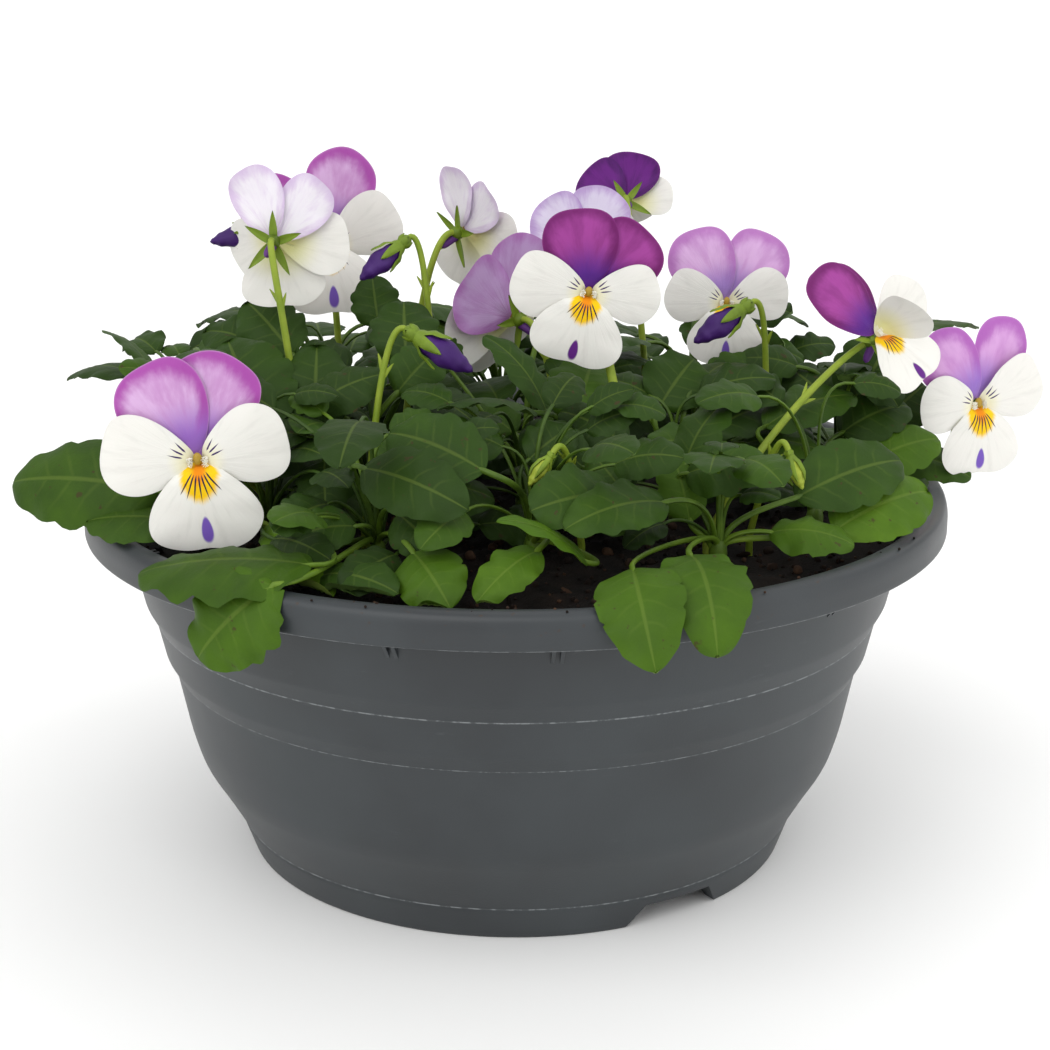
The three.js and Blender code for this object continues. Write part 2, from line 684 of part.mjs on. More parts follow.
// Rows of a leaf from the foot of its petiole to the last pair of points before the tip:
// each has its middle, half its width and half its thickness.
function leafRows(stem, place, spare) {
  const { length, width, frame } = place;
  const [across, face] = [vec(1, 0, 0), vec(0, 0, 1)].map((d) => d.transformDirection(frame));
  const path = petiolePath(stem, place);
  const rows = [0, 0.45, 1].map((share) => {
    const way = path.getTangent(share);
    const side = across.clone().addScaledVector(way, -across.dot(way)).normalize();
    const middle = path.getPoint(share);
    const thick = PETIOLE_RADIUS * (1 - 0.6 * share) + spare;
    const half = side.clone().cross(way).multiplyScalar(thick);
    return { middle, side: side.multiplyScalar(PETIOLE_RADIUS + spare), half };
  });
  const steps = 2 * (length > LEAF.longFrom ? 4 : 3);
  const half = face.multiplyScalar(LEAF_THICK / 2 + spare);
  for (let j = 1; j <= steps; j++) {
    const s = j / steps;
    const middle = vec(0, length * s, LEAF.arch * length * 4 * s * (1 - s)).applyMatrix4(frame);
    const reach = (width / 2) * bladeWidth(s) * (1 + (j % 2 ? LEAF.tooth : -LEAF.tooth)) + spare;
    rows.push({ middle, side: across.clone().multiplyScalar(reach), half });
  }
  return rows;
}

// A leaf: petiole and blade in one sheet, thicker by the spare on every side where asked.
function leaf(stem, place, spare = 0) {
  const rows = leafRows(stem, place, spare);
  const tip = rows.pop();
  const points = rows.flatMap(({ middle, side }) => {
    return [middle.clone().sub(side), middle.clone().add(side)];
  });
  const halves = rows.flatMap(({ half }) => [half, half]);
  const end = points.push(tip.middle) - 1;
  halves.push(tip.half);
  const faces = [[end - 2, end - 1, end]];
  for (let k = 2; k < end; k += 2) {
    faces.push([k - 2, k - 1, k + 1], [k - 2, k + 1, k]);
  }
  const right = rows.map((_, j) => 2 * j + 1);
  const left = rows.map((_, j) => 2 * j).reverse();
  return sheet(points, faces, [...right, end, ...left], halves);
}

function crownStem(stem) {
  const [x, y] = CROWNS[stem];
  const path = [vec(x, y, STEM.foot), vec(x, y, 94), vec(x, y, CROWN.top)];
  const size = CROWN.radius;
  return rod(path, [[size, size], [size, size], [size * 0.7, size * 0.7]], 5);
}

const crosses = (solid, others) => {
  const box = solid.boundingBox();
  return others.some(({ solid: other, box: b }) => {
    const apart = [0, 1, 2].some((k) => box.max[k] < b.min[k] || b.max[k] < box.min[k]);
    return !apart && solid.intersect(other).volume() > 0;
  });
};
const boxed = (solid) => ({ solid, box: solid.boundingBox() });

// Every leafy stem, each blade settled clear of the other stems and of what is there already.
function makeLeafyStems(fixed) {
  const stems = {};
  const own = {};
  const levels = {};
  for (const stem of Object.keys(CROWNS)) {
    stems[stem] = [boxed(crownStem(stem))];
    own[stem] = [];
    levels[stem] = 0;
  }
  for (const wanted of [...PLACED, ...spreadBlades()]) {
    const [stem] = wanted;
    const others = Object.keys(CROWNS).filter((s) => s !== stem).flatMap((s) => stems[s]);
    const around = [...fixed, ...others];
    const fits = (place, alsoOwn) => {
      const wide = leaf(stem, place, GAP);
      return !crosses(wide, around) && !(alsoOwn && crosses(wide, own[stem]));
    };
    const level = levels[stem]++;
    const places = TRIES.map((step) => leafPlace(wanted, level, step));
    const place = places.find((p) => fits(p, true)) ?? places.find((p) => fits(p, false));
    if (!place) continue;
    const made = boxed(leaf(stem, place));
    own[stem].push(made);
    stems[stem].push(made);
  }
  return Object.entries(stems).map(([stem, pieces]) =>
    meshOf(`leafy_stem_${stem}`, joined(pieces.map((p) => p.solid)), COLOURS.leaf),
  );
}

// ---------------------------------------------------------------- the whole plant
const stood = [
  ...[...BLOOMS, ...BUDS, ...GREEN_BUDS].map(({ foot }) => [...foot, STALK_RADIUS]),
  ...Object.values(CROWNS).map((at) => [...at, CROWN.radius]),
].map(([x, y, radius]) => ({ x, y, radius }));

const buds = BUDS.flatMap((bud, i) => {
  const frame = budFrame(bud);
  return [
    meshOf(`bud_${i + 1}_furled_petals`, budBody(bud, frame), COLOURS.bud),
    meshOf(`bud_${i + 1}_stalk`, budStalk(bud, frame, BUD_SEPALS, 1.2), COLOURS.stalk),
  ];
});
const greenBuds = GREEN_BUDS.map((bud, i) => {
  const frame = budFrame(bud);
  const whole = joined([budBody(bud, frame), budStalk(bud, frame, [], 2.1)]);
  return meshOf(`green_bud_${i + 1}`, whole, COLOURS.stalk);
});
const pot = makePot();
const soil = makeSoil(stood);
const flowering = [...BLOOMS.flatMap((bloom, i) => makeBloom(bloom, i + 1)), ...buds, ...greenBuds];
const fixed = [pot, soil, ...flowering.map((mesh) => solidOf(mesh.geometry))].map(boxed);

const plant = new THREE.Group();
plant.add(meshOf("pot", pot, COLOURS.plastic, 0.45), meshOf("soil", soil, COLOURS.soil, 0.95));
plant.add(...flowering, ...makeLeafyStems(fixed));

// The origin lies under the middle of the whole, on the ground.
const middle = new THREE.Box3().setFromObject(plant).getCenter(vec(0, 0, 0));
plant.position.set(-middle.x, -middle.y, 0);

export default plant;
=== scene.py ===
# %% [markdown]
# # A horned violet in a patio bowl
# A bowl plant is mostly thin sheets: petals under a third of a millimetre thick, leaves a
# little thicker, on stalks as thin as a pencil lead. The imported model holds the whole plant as
# plain solids. This lesson dresses it: each solid is replaced by a finer mesh in the same
# place, and each surface gets a material that starts from what the real one is made of.

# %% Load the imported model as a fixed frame
import json
import math
import random

import bmesh
import bpy
from mathutils import Matrix, Vector, noise
from mathutils.bvhtree import BVHTree
from mathutils.kdtree import KDTree

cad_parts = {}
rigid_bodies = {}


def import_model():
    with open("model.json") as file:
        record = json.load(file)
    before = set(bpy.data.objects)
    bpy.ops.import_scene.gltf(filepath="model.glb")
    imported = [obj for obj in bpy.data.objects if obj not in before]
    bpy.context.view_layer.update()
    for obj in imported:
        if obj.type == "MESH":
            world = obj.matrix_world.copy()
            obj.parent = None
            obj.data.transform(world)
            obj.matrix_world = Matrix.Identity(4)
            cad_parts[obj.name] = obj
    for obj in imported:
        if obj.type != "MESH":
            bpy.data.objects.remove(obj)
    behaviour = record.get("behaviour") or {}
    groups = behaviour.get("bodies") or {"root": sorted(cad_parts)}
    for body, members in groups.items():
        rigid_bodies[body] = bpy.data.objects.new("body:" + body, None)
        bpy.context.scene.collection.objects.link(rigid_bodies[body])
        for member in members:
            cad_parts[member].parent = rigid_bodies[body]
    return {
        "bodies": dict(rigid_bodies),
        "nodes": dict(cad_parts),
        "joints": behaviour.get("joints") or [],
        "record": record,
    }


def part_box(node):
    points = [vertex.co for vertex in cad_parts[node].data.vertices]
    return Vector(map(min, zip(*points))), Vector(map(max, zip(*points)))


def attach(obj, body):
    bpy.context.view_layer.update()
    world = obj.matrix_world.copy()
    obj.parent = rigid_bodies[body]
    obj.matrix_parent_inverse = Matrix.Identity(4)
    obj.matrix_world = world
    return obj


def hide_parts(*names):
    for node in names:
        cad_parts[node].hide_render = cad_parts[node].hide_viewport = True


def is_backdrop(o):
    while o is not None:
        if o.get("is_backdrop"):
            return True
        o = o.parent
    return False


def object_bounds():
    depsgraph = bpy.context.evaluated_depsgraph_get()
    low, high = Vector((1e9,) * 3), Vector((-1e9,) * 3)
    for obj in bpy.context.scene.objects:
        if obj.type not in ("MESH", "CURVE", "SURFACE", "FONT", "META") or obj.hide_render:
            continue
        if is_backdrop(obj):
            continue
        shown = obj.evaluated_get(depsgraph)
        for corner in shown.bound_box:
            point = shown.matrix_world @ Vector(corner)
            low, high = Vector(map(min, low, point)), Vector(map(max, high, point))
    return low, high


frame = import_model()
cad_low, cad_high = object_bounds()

print("nodes:", len(frame["nodes"]), "size in m:", [round(s, 4) for s in cad_high - cad_low])

# %% [markdown]
# ## Where the bowl stands
# All measures below are millimetres from the point on the ground under the bowl's axis, with
# +Z up and the viewer on the -Y side. One matrix turns them into the frame's metres, so each
# piece is modelled at a size one can check with a ruler and is placed without fitting.

# %% From bowl millimetres to the frame
MM = 0.001
pot_low, pot_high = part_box("pot")
pot_middle = (pot_low + pot_high) / 2
INTO_FRAME = Matrix.Translation((pot_middle.x, pot_middle.y, 0)) @ Matrix.Scale(MM, 4)
UP = Vector((0, 0, 1))
print("bowl axis at", round(pot_middle.x, 5), round(pot_middle.y, 5))

# %% [markdown]
# ## The camera
# A camera is an object whose place, turn and lens are set by hand. It looks at the bowl from
# in front and a little above, as a person does who stands two steps from the table.

# %% Camera
CAMERA = {"place": (0, -568.6, 255.4), "down": 16.573, "right": 0.24, "lens": 74.74}
eye = bpy.data.cameras.new("camera")
eye.lens = CAMERA["lens"]
eye.sensor_width = 36
eye.clip_start = 0.02
eye.clip_end = 60
camera = bpy.data.objects.new("camera", eye)
camera.location = INTO_FRAME @ Vector(CAMERA["place"])
camera.rotation_euler = (
    math.radians(90 - CAMERA["down"]),
    0,
    math.radians(-CAMERA["right"]),
)
bpy.context.scene.collection.objects.link(camera)
bpy.context.scene.camera = camera
print("camera at", [round(x, 3) for x in camera.location])

# %% [markdown]
# ## Light
# A plant on a white table in a studio is lit by big soft boxes, so its shadows have no edge.
# Sun lamps stand for them: a sun lights the whole table evenly, and its angle sets how soft
# its shadows are. The key comes from the upper left, a weaker one opens the right side, and a
# third from behind lights the edges. A bright even world fills what they leave.

# %% World and lamps
WORLD_STRENGTH = 0.68
LAMPS = {  # where the light comes from, its angle in degrees, its strength
    "key": ((-0.5, -0.72, 0.95), 60, 1.35),
    "fill": ((0.9, -0.5, 0.6), 80, 0.9),
    "back": ((0.25, 0.9, 0.9), 70, 0.45),
}
world = bpy.data.worlds.new("studio")
bpy.context.scene.world = world
world.use_nodes = True
world.node_tree.nodes["Background"].inputs["Color"].default_value = (1, 1, 1, 1)
world.node_tree.nodes["Background"].inputs["Strength"].default_value = WORLD_STRENGTH
for name, (source, angle, strength) in LAMPS.items():
    lamp = bpy.data.lights.new(name, "SUN")
    lamp.angle = math.radians(angle)
    lamp.energy = strength
    lit = bpy.data.objects.new(name, lamp)
    lit.rotation_euler = (-Vector(source)).to_track_quat("-Z", "Y").to_euler()
    bpy.context.scene.collection.objects.link(lit)
bpy.context.scene.view_settings.view_transform = "Standard"
print("lamps:", len(LAMPS))

# %% [markdown]
# ## Colours and shader nodes
# Colours are written as the hex codes that a paint program shows. Blender's sockets want
# linear light, so one function turns one into the other. A second function adds any shader
# node: its settings, and its inputs as values or as other nodes' sockets. The inputs are named,
# or listed in the order in which the node shows them.

# %% Helpers for materials
def srgb(code):
    """An sRGB hex colour as linear red, green, blue and alpha."""
    channels = [int(code[i:i + 2], 16) / 255 for i in (1, 3, 5)]
    linear = [c / 12.92 if c <= 0.04045 else ((c + 0.055) / 1.055) ** 2.4 for c in channels]
    return (*linear, 1.0)


def add(tree, kind, settings, inputs, output=0):
    """Adds a shader node and returns one of its output sockets."""
    node = tree.nodes.new("ShaderNode" + kind)
    for key, value in settings.items():
        setattr(node, key, value)
    wanted = inputs if isinstance(inputs, dict) else dict(enumerate(inputs))
    for key, value in wanted.items():
        if isinstance(value, bpy.types.NodeSocket):
            tree.links.new(value, node.inputs[key])
        else:
            node.inputs[key].default_value = value
    return node.outputs[output]


def per_mm(size):
    """The scale of a texture on Object coordinates whose features are size mm apart."""
    return 1 / (size * MM)


def new_finish(name, roughness, **values):
    """A material with one Principled surface, its tree and that surface."""
    finish = bpy.data.materials.new(name)
    finish.use_nodes = True
    surface = finish.node_tree.nodes["Principled BSDF"]
    surface.inputs["Roughness"].default_value = roughness
    for key, value in values.items():
        surface.inputs[key.replace("_", " ")].default_value = value
    return finish, finish.node_tree, surface


print("white is", [round(c, 3) for c in srgb("#ffffff")])

# %% [markdown]
# A few settings come back in nearly every material, so they get a name: a mix of two colours, a
# little arithmetic, and the smooth fade of a Map Range node, which serves as a mask. That node
# lists its value, the two limits it fades between, and what it gives at the one and the other.

# %% Settings that come back, and the stops of a ramp
SMOOTH = {"interpolation_type": "SMOOTHSTEP"}
COLOUR_MIX = {"data_type": "RGBA"}  # its factor is input 0, its colours 6 and 7, its result output 2
PLUS = {"operation": "ADD"}
MINUS = {"operation": "SUBTRACT"}
TIMES = {"operation": "MULTIPLY"}
OVER = {"operation": "DIVIDE"}
TIMES_PLUS = {"operation": "MULTIPLY_ADD"}  # the first times the second, plus the third
UNSIGNED = {"operation": "ABSOLUTE"}
SQUARE = {"operation": "POWER"}  # its second input is 2
RADIANS = {"operation": "RADIANS"}


def with_stops(ramp_socket, stops):
    """Sets the stops of the ramp behind a socket: (place, hex colour) pairs."""
    ramp = ramp_socket.node.color_ramp
    while len(ramp.elements) < len(stops):
        ramp.elements.new(0.5)
    for element, (place, code) in zip(ramp.elements, stops):
        element.position = place
        element.color = srgb(code)
    return ramp_socket


print("shared settings ready")

# %% [markdown]
# ## Thin sheets with their own coordinates
# Petals and leaves are grids: Blender's grid operator makes a flat square, and a formula then
# moves each point to its place. The square's own two numbers stay with the points as a UV
# map, so veins can follow the petal wherever it goes. Two more numbers ride on each point:
# how near it is to the edge, and a tone that lets one leaf be yellower than the next.
# Each blade has an upper and a lower skin that meet in a thin edge, so it is a closed solid.

# %% Shapes made of grids
PATTERN = "pattern"
WELD = 0.002  # mm, points nearer than this are one


def new_shape():
    """An empty mesh in the making, with room for the numbers that its points carry."""
    shape = bmesh.new()
    shape.loops.layers.uv.new(PATTERN)
    shape.verts.layers.float.new("rim")
    shape.verts.layers.float.new("tone")
    return shape


def dress(shape, points, finish, tone=0.0):
    """Gives new points their tone and their faces a finish and smooth shading."""
    toned = shape.verts.layers.float["tone"]
    for point in points:
        point[toned] = tone
        for face in point.link_faces:
            face.material_index = finish
            face.smooth = True


def add_grid(shape, across, along, place, finish=0, tone=0.0):
    """Adds a grid: place(u, v) gives each point, its pattern coordinates and its rim share."""
    points = bmesh.ops.create_grid(shape, x_segments=across, y_segments=along, size=0.5)["verts"]
    pattern = shape.loops.layers.uv[PATTERN]
    rim_layer = shape.verts.layers.float["rim"]
    for point in points:
        spot, mark, rim = place(point.co.x + 0.5, point.co.y + 0.5)
        point.co = spot
        point[rim_layer] = rim
        for loop in point.link_loops:
            loop[pattern].uv = mark
    dress(shape, points, finish, tone)
    return points


def add_blade(shape, across, along, place, thickness, face, finishes, tone=0.0):
    """Two skins that meet at the rim, thickness mm apart in the middle."""
    for side, finish in zip((0.5, -0.5), finishes):

        def skin(u, v, side=side):
            spot, mark, rim = place(u, v)
            return spot + face * (side * thickness * (1 - min(rim, 1) ** 8)), mark, rim

        add_grid(shape, across, along, skin, finish, tone)


print("grids ready")

# %% [markdown]
# A stalk is a grid too, rolled round a path. Its first and last rings shrink to a point, so
# the tube is closed. The ring's side direction is carried along from point to point, which
# keeps the tube from twisting where the path turns over.

# %% Tubes along a path
def tube_rings(path, first_side):
    """For each point of the path two directions across it."""
    side = Vector(first_side)
    rings = []
    for i, point in enumerate(path):
        way = (path[min(i + 1, len(path) - 1)] - path[max(i - 1, 0)]).normalized()
        side = (side - way * side.dot(way)).normalized()
        rings.append((point, side, way.cross(side)))
    return rings


def add_tube(shape, path, radius, sides, finish=0, tone=0.0, first_side=(1, 0, 0.1)):
    """A closed tube: radius(share of the way) is its radius in mm, or two half-axes."""
    rings = tube_rings(path, first_side)
    rings = [rings[0], *rings, rings[-1]]
    last = len(rings) - 1

    def place(u, v):
        i = round(v * last)
        spot, side, up = rings[i]
        share = min(max((i - 1) / (last - 2), 0), 1)
        size = radius(share)
        wide, high = size if isinstance(size, tuple) else (size, size)
        open_here = 0 < i < last
        turn = 2 * math.pi * u
        offset = side * (wide * math.cos(turn)) + up * (high * math.sin(turn))
        return spot + offset * open_here, (u, v), share

    return add_grid(shape, sides, last, place, finish, tone)


def bezier(points, steps):
    """Points on the cubic curve with these four control points."""
    a, b, c, d = points
    curve = []
    for i in range(steps + 1):
        t = i / steps
        r = 1 - t
        curve.append(a * r**3 + b * (3 * t * r * r) + c * (3 * t * t * r) + d * t**3)
    return curve


print("tubes ready")

# %% [markdown]
# Each finished shape becomes one object. Its doubles are merged first, then the normals are
# turned outward, because a rolled or mirrored grid may be inside out. The mesh is moved into
# the frame, and the object itself stays at the origin. Edges sharper than a limit stay crisp.

# %% From a shape to a piece that rides on the frame
def keep(shape, name, finishes, nodes, sharp=50):
    """Makes the shape a piece of the frame that stands in for the named nodes."""
    bmesh.ops.remove_doubles(shape, verts=shape.verts, dist=WELD)
    bmesh.ops.recalc_face_normals(shape, faces=shape.faces)
    shape.transform(INTO_FRAME)
    mesh = bpy.data.meshes.new(name)
    shape.to_mesh(mesh)
    shape.free()
    mesh.set_sharp_from_angle(angle=math.radians(sharp))
    for finish in finishes:
        mesh.materials.append(finish)
    piece = bpy.data.objects.new(name, mesh)
    bpy.context.scene.collection.objects.link(piece)
    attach(piece, "root")
    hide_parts(*nodes)
    print(f"{name}: {len(mesh.polygons)} faces")
    return piece


def frame_of(origin, along, face):
    """A blade's own frame: x across, y along, z out of its face."""
    y = along.normalized()
    z = (face - y * face.dot(y)).normalized()
    x = y.cross(z)
    turn = Matrix((x, y, z)).transposed().to_4x4()
    return Matrix.Translation(origin) @ turn


# %% [markdown]
# ## The floor
# A wide pale sheet, far larger than the bowl, so that no edge of it shows.

# %% Floor
FLOOR_SIZE = 30  # metres
floor_shape = bmesh.new()
bmesh.ops.create_grid(floor_shape, x_segments=1, y_segments=1, size=FLOOR_SIZE / 2)
floor_mesh = bpy.data.meshes.new("floor")
floor_shape.to_mesh(floor_mesh)
floor_shape.free()
floor = bpy.data.objects.new("floor", floor_mesh)
bpy.context.scene.collection.objects.link(floor)
matt_card, _, card = new_finish("matt pale card", 0.7)
card.inputs["Base Color"].default_value = srgb("#fdfdfc")
floor_mesh.materials.append(matt_card)
floor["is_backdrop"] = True
print("floor of", FLOOR_SIZE, "m")

# %% [markdown]
# ## The bowl
# The real bowl is one piece of injection-moulded polypropylene. Its form is a turned one: a
# profile swung once round the axis. Corners that a mould leaves crisp are rounded by a third
# of a millimetre and soft ones by several, with the bevel operator, before the profile spins.

# %% Profile of the bowl: radius, height, rounding
RIM_TOP = 99.6
FLOOR_TOP = 8.4
BOWL_PROFILE = [
    (0, 4, 0), (68.8, 4, 0.4), (69.8, 0, 0.5), (73.8, 0, 0.6), (76.8, 8.4, 0.35),
    (76.9, 9.4, 0.35), (82.9, 20, 4), (86.7, 26, 2.5), (89.2, 33, 5), (93.2, 53, 0.4),
    (95.6, 57.2, 0.5), (97.9, 67.4, 0.4), (100.4, 72.1, 0.5), (104.5, 90, 1.5),
    (105.6, 95.4, 0.6), (112.6, 95.4, 0.6), (113, 90.8, 0.5), (115, 90.8, 0.6),
    (115, 96.4, 1.4), (114.1, 98.8, 0.8), (112.2, 99.6, 0.8), (110, 99.5, 0.7),
    (108.2, 98, 0.8), (102.5, 90, 3), (91.3, 53, 5), (84.7, 26, 5), (74.9, 9.4, 0.4),
    (74.5, 8.4, 0.3), (0, FLOOR_TOP, 0),
]
BOWL_STEPS = 192
LONG_EDGE = 2.5  # mm, a longer edge of the profile is split near both ends
SPLIT_AT = 0.8  # mm from its end


def turned(profile, steps):
    """A closed form spun from corners (radius, height, rounding) that start and end on the axis."""
    shape = bmesh.new()
    corners = [shape.verts.new((r, 0, z)) for r, z, _ in profile]
    for a, b in zip(corners, corners[1:]):
        shape.edges.new((a, b))
    for corner, (_, _, rounding) in zip(corners, profile):
        if rounding:
            bmesh.ops.bevel(
                shape, geom=[corner], offset=rounding, segments=4 if rounding > 1 else 3,
                profile=0.5, affect="VERTICES", clamp_overlap=True, material=-1,
            )
    for end in (0, 1):
        for edge in [edge for edge in shape.edges if edge.calc_length() > LONG_EDGE]:
            near = min(0.4, SPLIT_AT / edge.calc_length())
            bmesh.utils.edge_split(edge, edge.verts[end], near)
    line = [*shape.verts, *shape.edges]
    bmesh.ops.spin(
        shape, geom=line, cent=(0, 0, 0), axis=(0, 0, 1),
        angle=2 * math.pi, steps=steps, use_merge=True,
    )
    bmesh.ops.remove_doubles(shape, verts=shape.verts, dist=WELD)
    bmesh.ops.recalc_face_normals(shape, faces=shape.faces)
    for face in shape.faces:
        face.smooth = True
    return shape


bowl = turned(BOWL_PROFILE, BOWL_STEPS)
print("bowl faces:", len(bowl.faces))

# %% [markdown]
# The foot ring has two wide notches that let water run off, and the floor has eight drain
# holes. A Boolean modifier will cut them all with one tool shape of wedges and cylinders.

# %% Notches and drain holes
NOTCH = {"angles": (33, 213), "top": 20, "bottom": 30, "height": 6.4, "from": 66.8, "depth": 14}
DRAIN = {"count": 8, "radius": 4, "circle": 48, "middle": 6, "depth": 12}


def round_about(angle):
    """Turns a point at -Y by an angle towards +X."""
    return Matrix.Rotation(math.radians(angle), 4, "Z")


def add_notch_tool(shape, angle):
    """A wedge as wide as the notch, from inside the foot ring out."""
    corners = [
        (-NOTCH["bottom"] / 2, -1), (NOTCH["bottom"] / 2, -1),
        (NOTCH["top"] / 2, NOTCH["height"]), (-NOTCH["top"] / 2, NOTCH["height"]),
    ]
    flat = [shape.verts.new((x, -NOTCH["from"], z)) for x, z in corners]
    pushed = bmesh.ops.extrude_face_region(shape, geom=[shape.faces.new(flat)])["geom"]
    moved = [v for v in pushed if isinstance(v, bmesh.types.BMVert)]
    bmesh.ops.translate(shape, verts=moved, vec=(0, -NOTCH["depth"], 0))
    bmesh.ops.rotate(shape, verts=flat + moved, cent=(0, 0, 0), matrix=round_about(angle).to_3x3())


tools = bmesh.new()
for angle in NOTCH["angles"]:
    add_notch_tool(tools, angle)
for i in range(DRAIN["count"]):
    turn = 2 * math.pi * i / DRAIN["count"]
    spot = (DRAIN["circle"] * math.cos(turn), DRAIN["circle"] * math.sin(turn), DRAIN["middle"])
    bmesh.ops.create_cone(
        tools, cap_ends=True, segments=32, radius1=DRAIN["radius"], radius2=DRAIN["radius"],
        depth=DRAIN["depth"], matrix=Matrix.Translation(spot),
    )
bmesh.ops.recalc_face_normals(tools, faces=tools.faces)
print("faces of the cutting tools:", len(tools.faces))

# %% [markdown]
# The modifier needs two objects, so bowl and tools become objects for a moment. The mesh that
# it gives is read back, and both are removed.

# %% Cutting the bowl
def object_of(shape, name):
    """A plain object of the shape, for a modifier to work on."""
    mesh = bpy.data.meshes.new(name)
    shape.to_mesh(mesh)
    shape.free()
    made = bpy.data.objects.new(name, mesh)
    bpy.context.scene.collection.objects.link(made)
    return made


def cut_away(shape, tool_shape):
    """The shape with the tool's volume taken out of it."""
    body = object_of(shape, "body")
    tool = object_of(tool_shape, "tool")
    cut = body.modifiers.new("cut", "BOOLEAN")
    cut.object = tool
    cut.operation = "DIFFERENCE"
    cut.solver = "EXACT"
    result = bmesh.new()
    result.from_object(body, bpy.context.evaluated_depsgraph_get())
    bpy.data.objects.remove(body)
    bpy.data.objects.remove(tool)
    return result


bowl = cut_away(bowl, tools)
print("bowl faces after cutting:", len(bowl.faces))

# %% [markdown]
# Small triangular ribs stand in close pairs in the corner under the rim, all the way round.
# Each is one triangle, pushed to its thickness by the extrude operator. Their inner edges are
# sunk in the wall.

# %% Ribs under the rim
RIB = {"pairs": 17, "first": -16, "spread": 1.15, "width": 0.9, "height": 13.5, "reach": 7.5,
       "under": 3.7, "wall": 105}


def add_rib(shape, angle):
    """One rib in the corner between the wall and the underside of the rim."""
    top = RIM_TOP - RIB["under"]
    corners = [(-1, top), (-3, top - RIB["height"]), (RIB["reach"], top)]
    flat = [shape.verts.new((RIB["width"] / 2, -RIB["wall"] - out, z)) for out, z in corners]
    side = shape.faces.new(flat)
    pushed = bmesh.ops.extrude_face_region(shape, geom=[side])["geom"]
    moved = [v for v in pushed if isinstance(v, bmesh.types.BMVert)]
    bmesh.ops.translate(shape, verts=moved, vec=(-RIB["width"], 0, 0))
    bmesh.ops.rotate(shape, verts=flat + moved, cent=(0, 0, 0), matrix=round_about(angle).to_3x3())


for pair in range(RIB["pairs"]):
    for half in (-0.5, 0.5):
        add_rib(bowl, RIB["first"] + 360 * pair / RIB["pairs"] + half * RIB["spread"])
bmesh.ops.recalc_face_normals(bowl, faces=bowl.faces)
print("ribs:", 2 * RIB["pairs"])

# %% [markdown]
# Moulded polypropylene, coloured through with carbon black, has a waxy satin skin: the mould
# was spark-eroded to a fine grain, so highlights are broad and soft. Its IOR is near 1.49.
# Handling leaves faint pale scuffs, and watering leaves brown crumbs and dust along the rim.
# Thin pale lines along the ridges, the foot and the rim's lower edge are a painted highlight
# where these edges catch the light, broken up like rubbed wear.
# The grain of the real skin is about 0.1 mm. It is drawn at 0.45 mm so that it shows.

# %% Anthracite polypropylene
# pale lines painted along edges as a highlight, broken up like rubbed wear
EDGE_HIGHLIGHTS_AND_WEAR = ((67.3, 0.26), (53.1, 0.15), (9.3, 0.26), (90.9, 0.25))  # mm: height, half its width
plastic, tree, surface = new_finish(
    "moulded polypropylene anthracite", 0.46, IOR=1.49, Specular_IOR_Level=0.5
)
where = add(tree, "TexCoord", {}, {}, "Object")
clouds = add(tree, "TexNoise", {}, {"Vector": where, "Scale": per_mm(38), "Detail": 3})
ramp = add(tree, "ValToRGB", {}, {"Fac": clouds})
ground = with_stops(ramp, [(0.35, "#2a2e31"), (0.65, "#34393c")])
stretched = add(tree, "Mapping", {}, {"Vector": where, "Scale": (1, 1, 5)})
scratches = add(
    tree, "TexNoise", {}, {"Vector": stretched, "Scale": per_mm(14), "Detail": 6, "Roughness": 0.7}
)
scuffed = add(tree, "MapRange", SMOOTH, [scratches, 0.63, 0.75, 0, 0.22])
worn = add(tree, "Mix", COLOUR_MIX, {0: scuffed, 6: ground, 7: srgb("#5c6163")}, 2)
height = add(tree, "SeparateXYZ", {}, {"Vector": where}, "Z")
near_rim = add(tree, "MapRange", SMOOTH, [height, 88 * MM, 99 * MM, 0, 1])
crumbly = add(tree, "TexNoise", {}, {"Vector": where, "Scale": per_mm(1.7), "Detail": 4})
specks = add(tree, "MapRange", SMOOTH, [crumbly, 0.66, 0.72, 0, 0.8])
dirt = add(tree, "Math", TIMES, [near_rim, specks])
dirt_and_highlights = add(tree, "Mix", COLOUR_MIX, {0: dirt, 6: worn, 7: srgb("#3a2c22")}, 2)
broken = add(tree, "MapRange", SMOOTH, [crumbly, 0.4, 0.62, 0.08, 0.62])
# each edge gets a thin painted highlight line, broken up like rubbed wear
for edge_height, half_width in EDGE_HIGHLIGHTS_AND_WEAR:
    off = add(tree, "Math", MINUS, [height, edge_height * MM])
    off = add(tree, "Math", UNSIGNED, [off])
    on_edge = add(tree, "MapRange", SMOOTH, [off, 0.4 * half_width * MM, half_width * MM, 1, 0])
    on_edge = add(tree, "Math", TIMES, [on_edge, broken])
    dirt_and_highlights = add(tree, "Mix", COLOUR_MIX, {0: on_edge, 6: dirt_and_highlights, 7: srgb("#8f9496")}, 2)
tree.links.new(dirt_and_highlights, surface.inputs["Base Color"])
grain = add(tree, "TexNoise", {}, {"Vector": where, "Scale": per_mm(0.45), "Detail": 2})
shine = add(tree, "MapRange", {}, [clouds, 0.3, 0.7, 0.4, 0.52])
tree.links.new(shine, surface.inputs["Roughness"])
bump = add(tree, "Bump", {}, {"Strength": 0.6, "Distance": 0.05 * MM, "Height": grain})
tree.links.new(bump, surface.inputs["Normal"])
keep(bowl, "bowl", [plastic], ["pot"], sharp=32)

# %% [markdown]
# ## The compost
# Damp peat compost is a heap of crumbs, from dust to lumps of a few millimetres, with bark
# chips and fibres in it. The body is turned like the bowl and its top is pushed up and down
# by noise.

# %% Surface of the compost
SOIL = {"edge": 92.6, "crown": 95, "bump": 0.9, "radius": 104.1, "fine": 0.9}
MOUND_RADIUS = 101
SOIL_SEED = 3.1


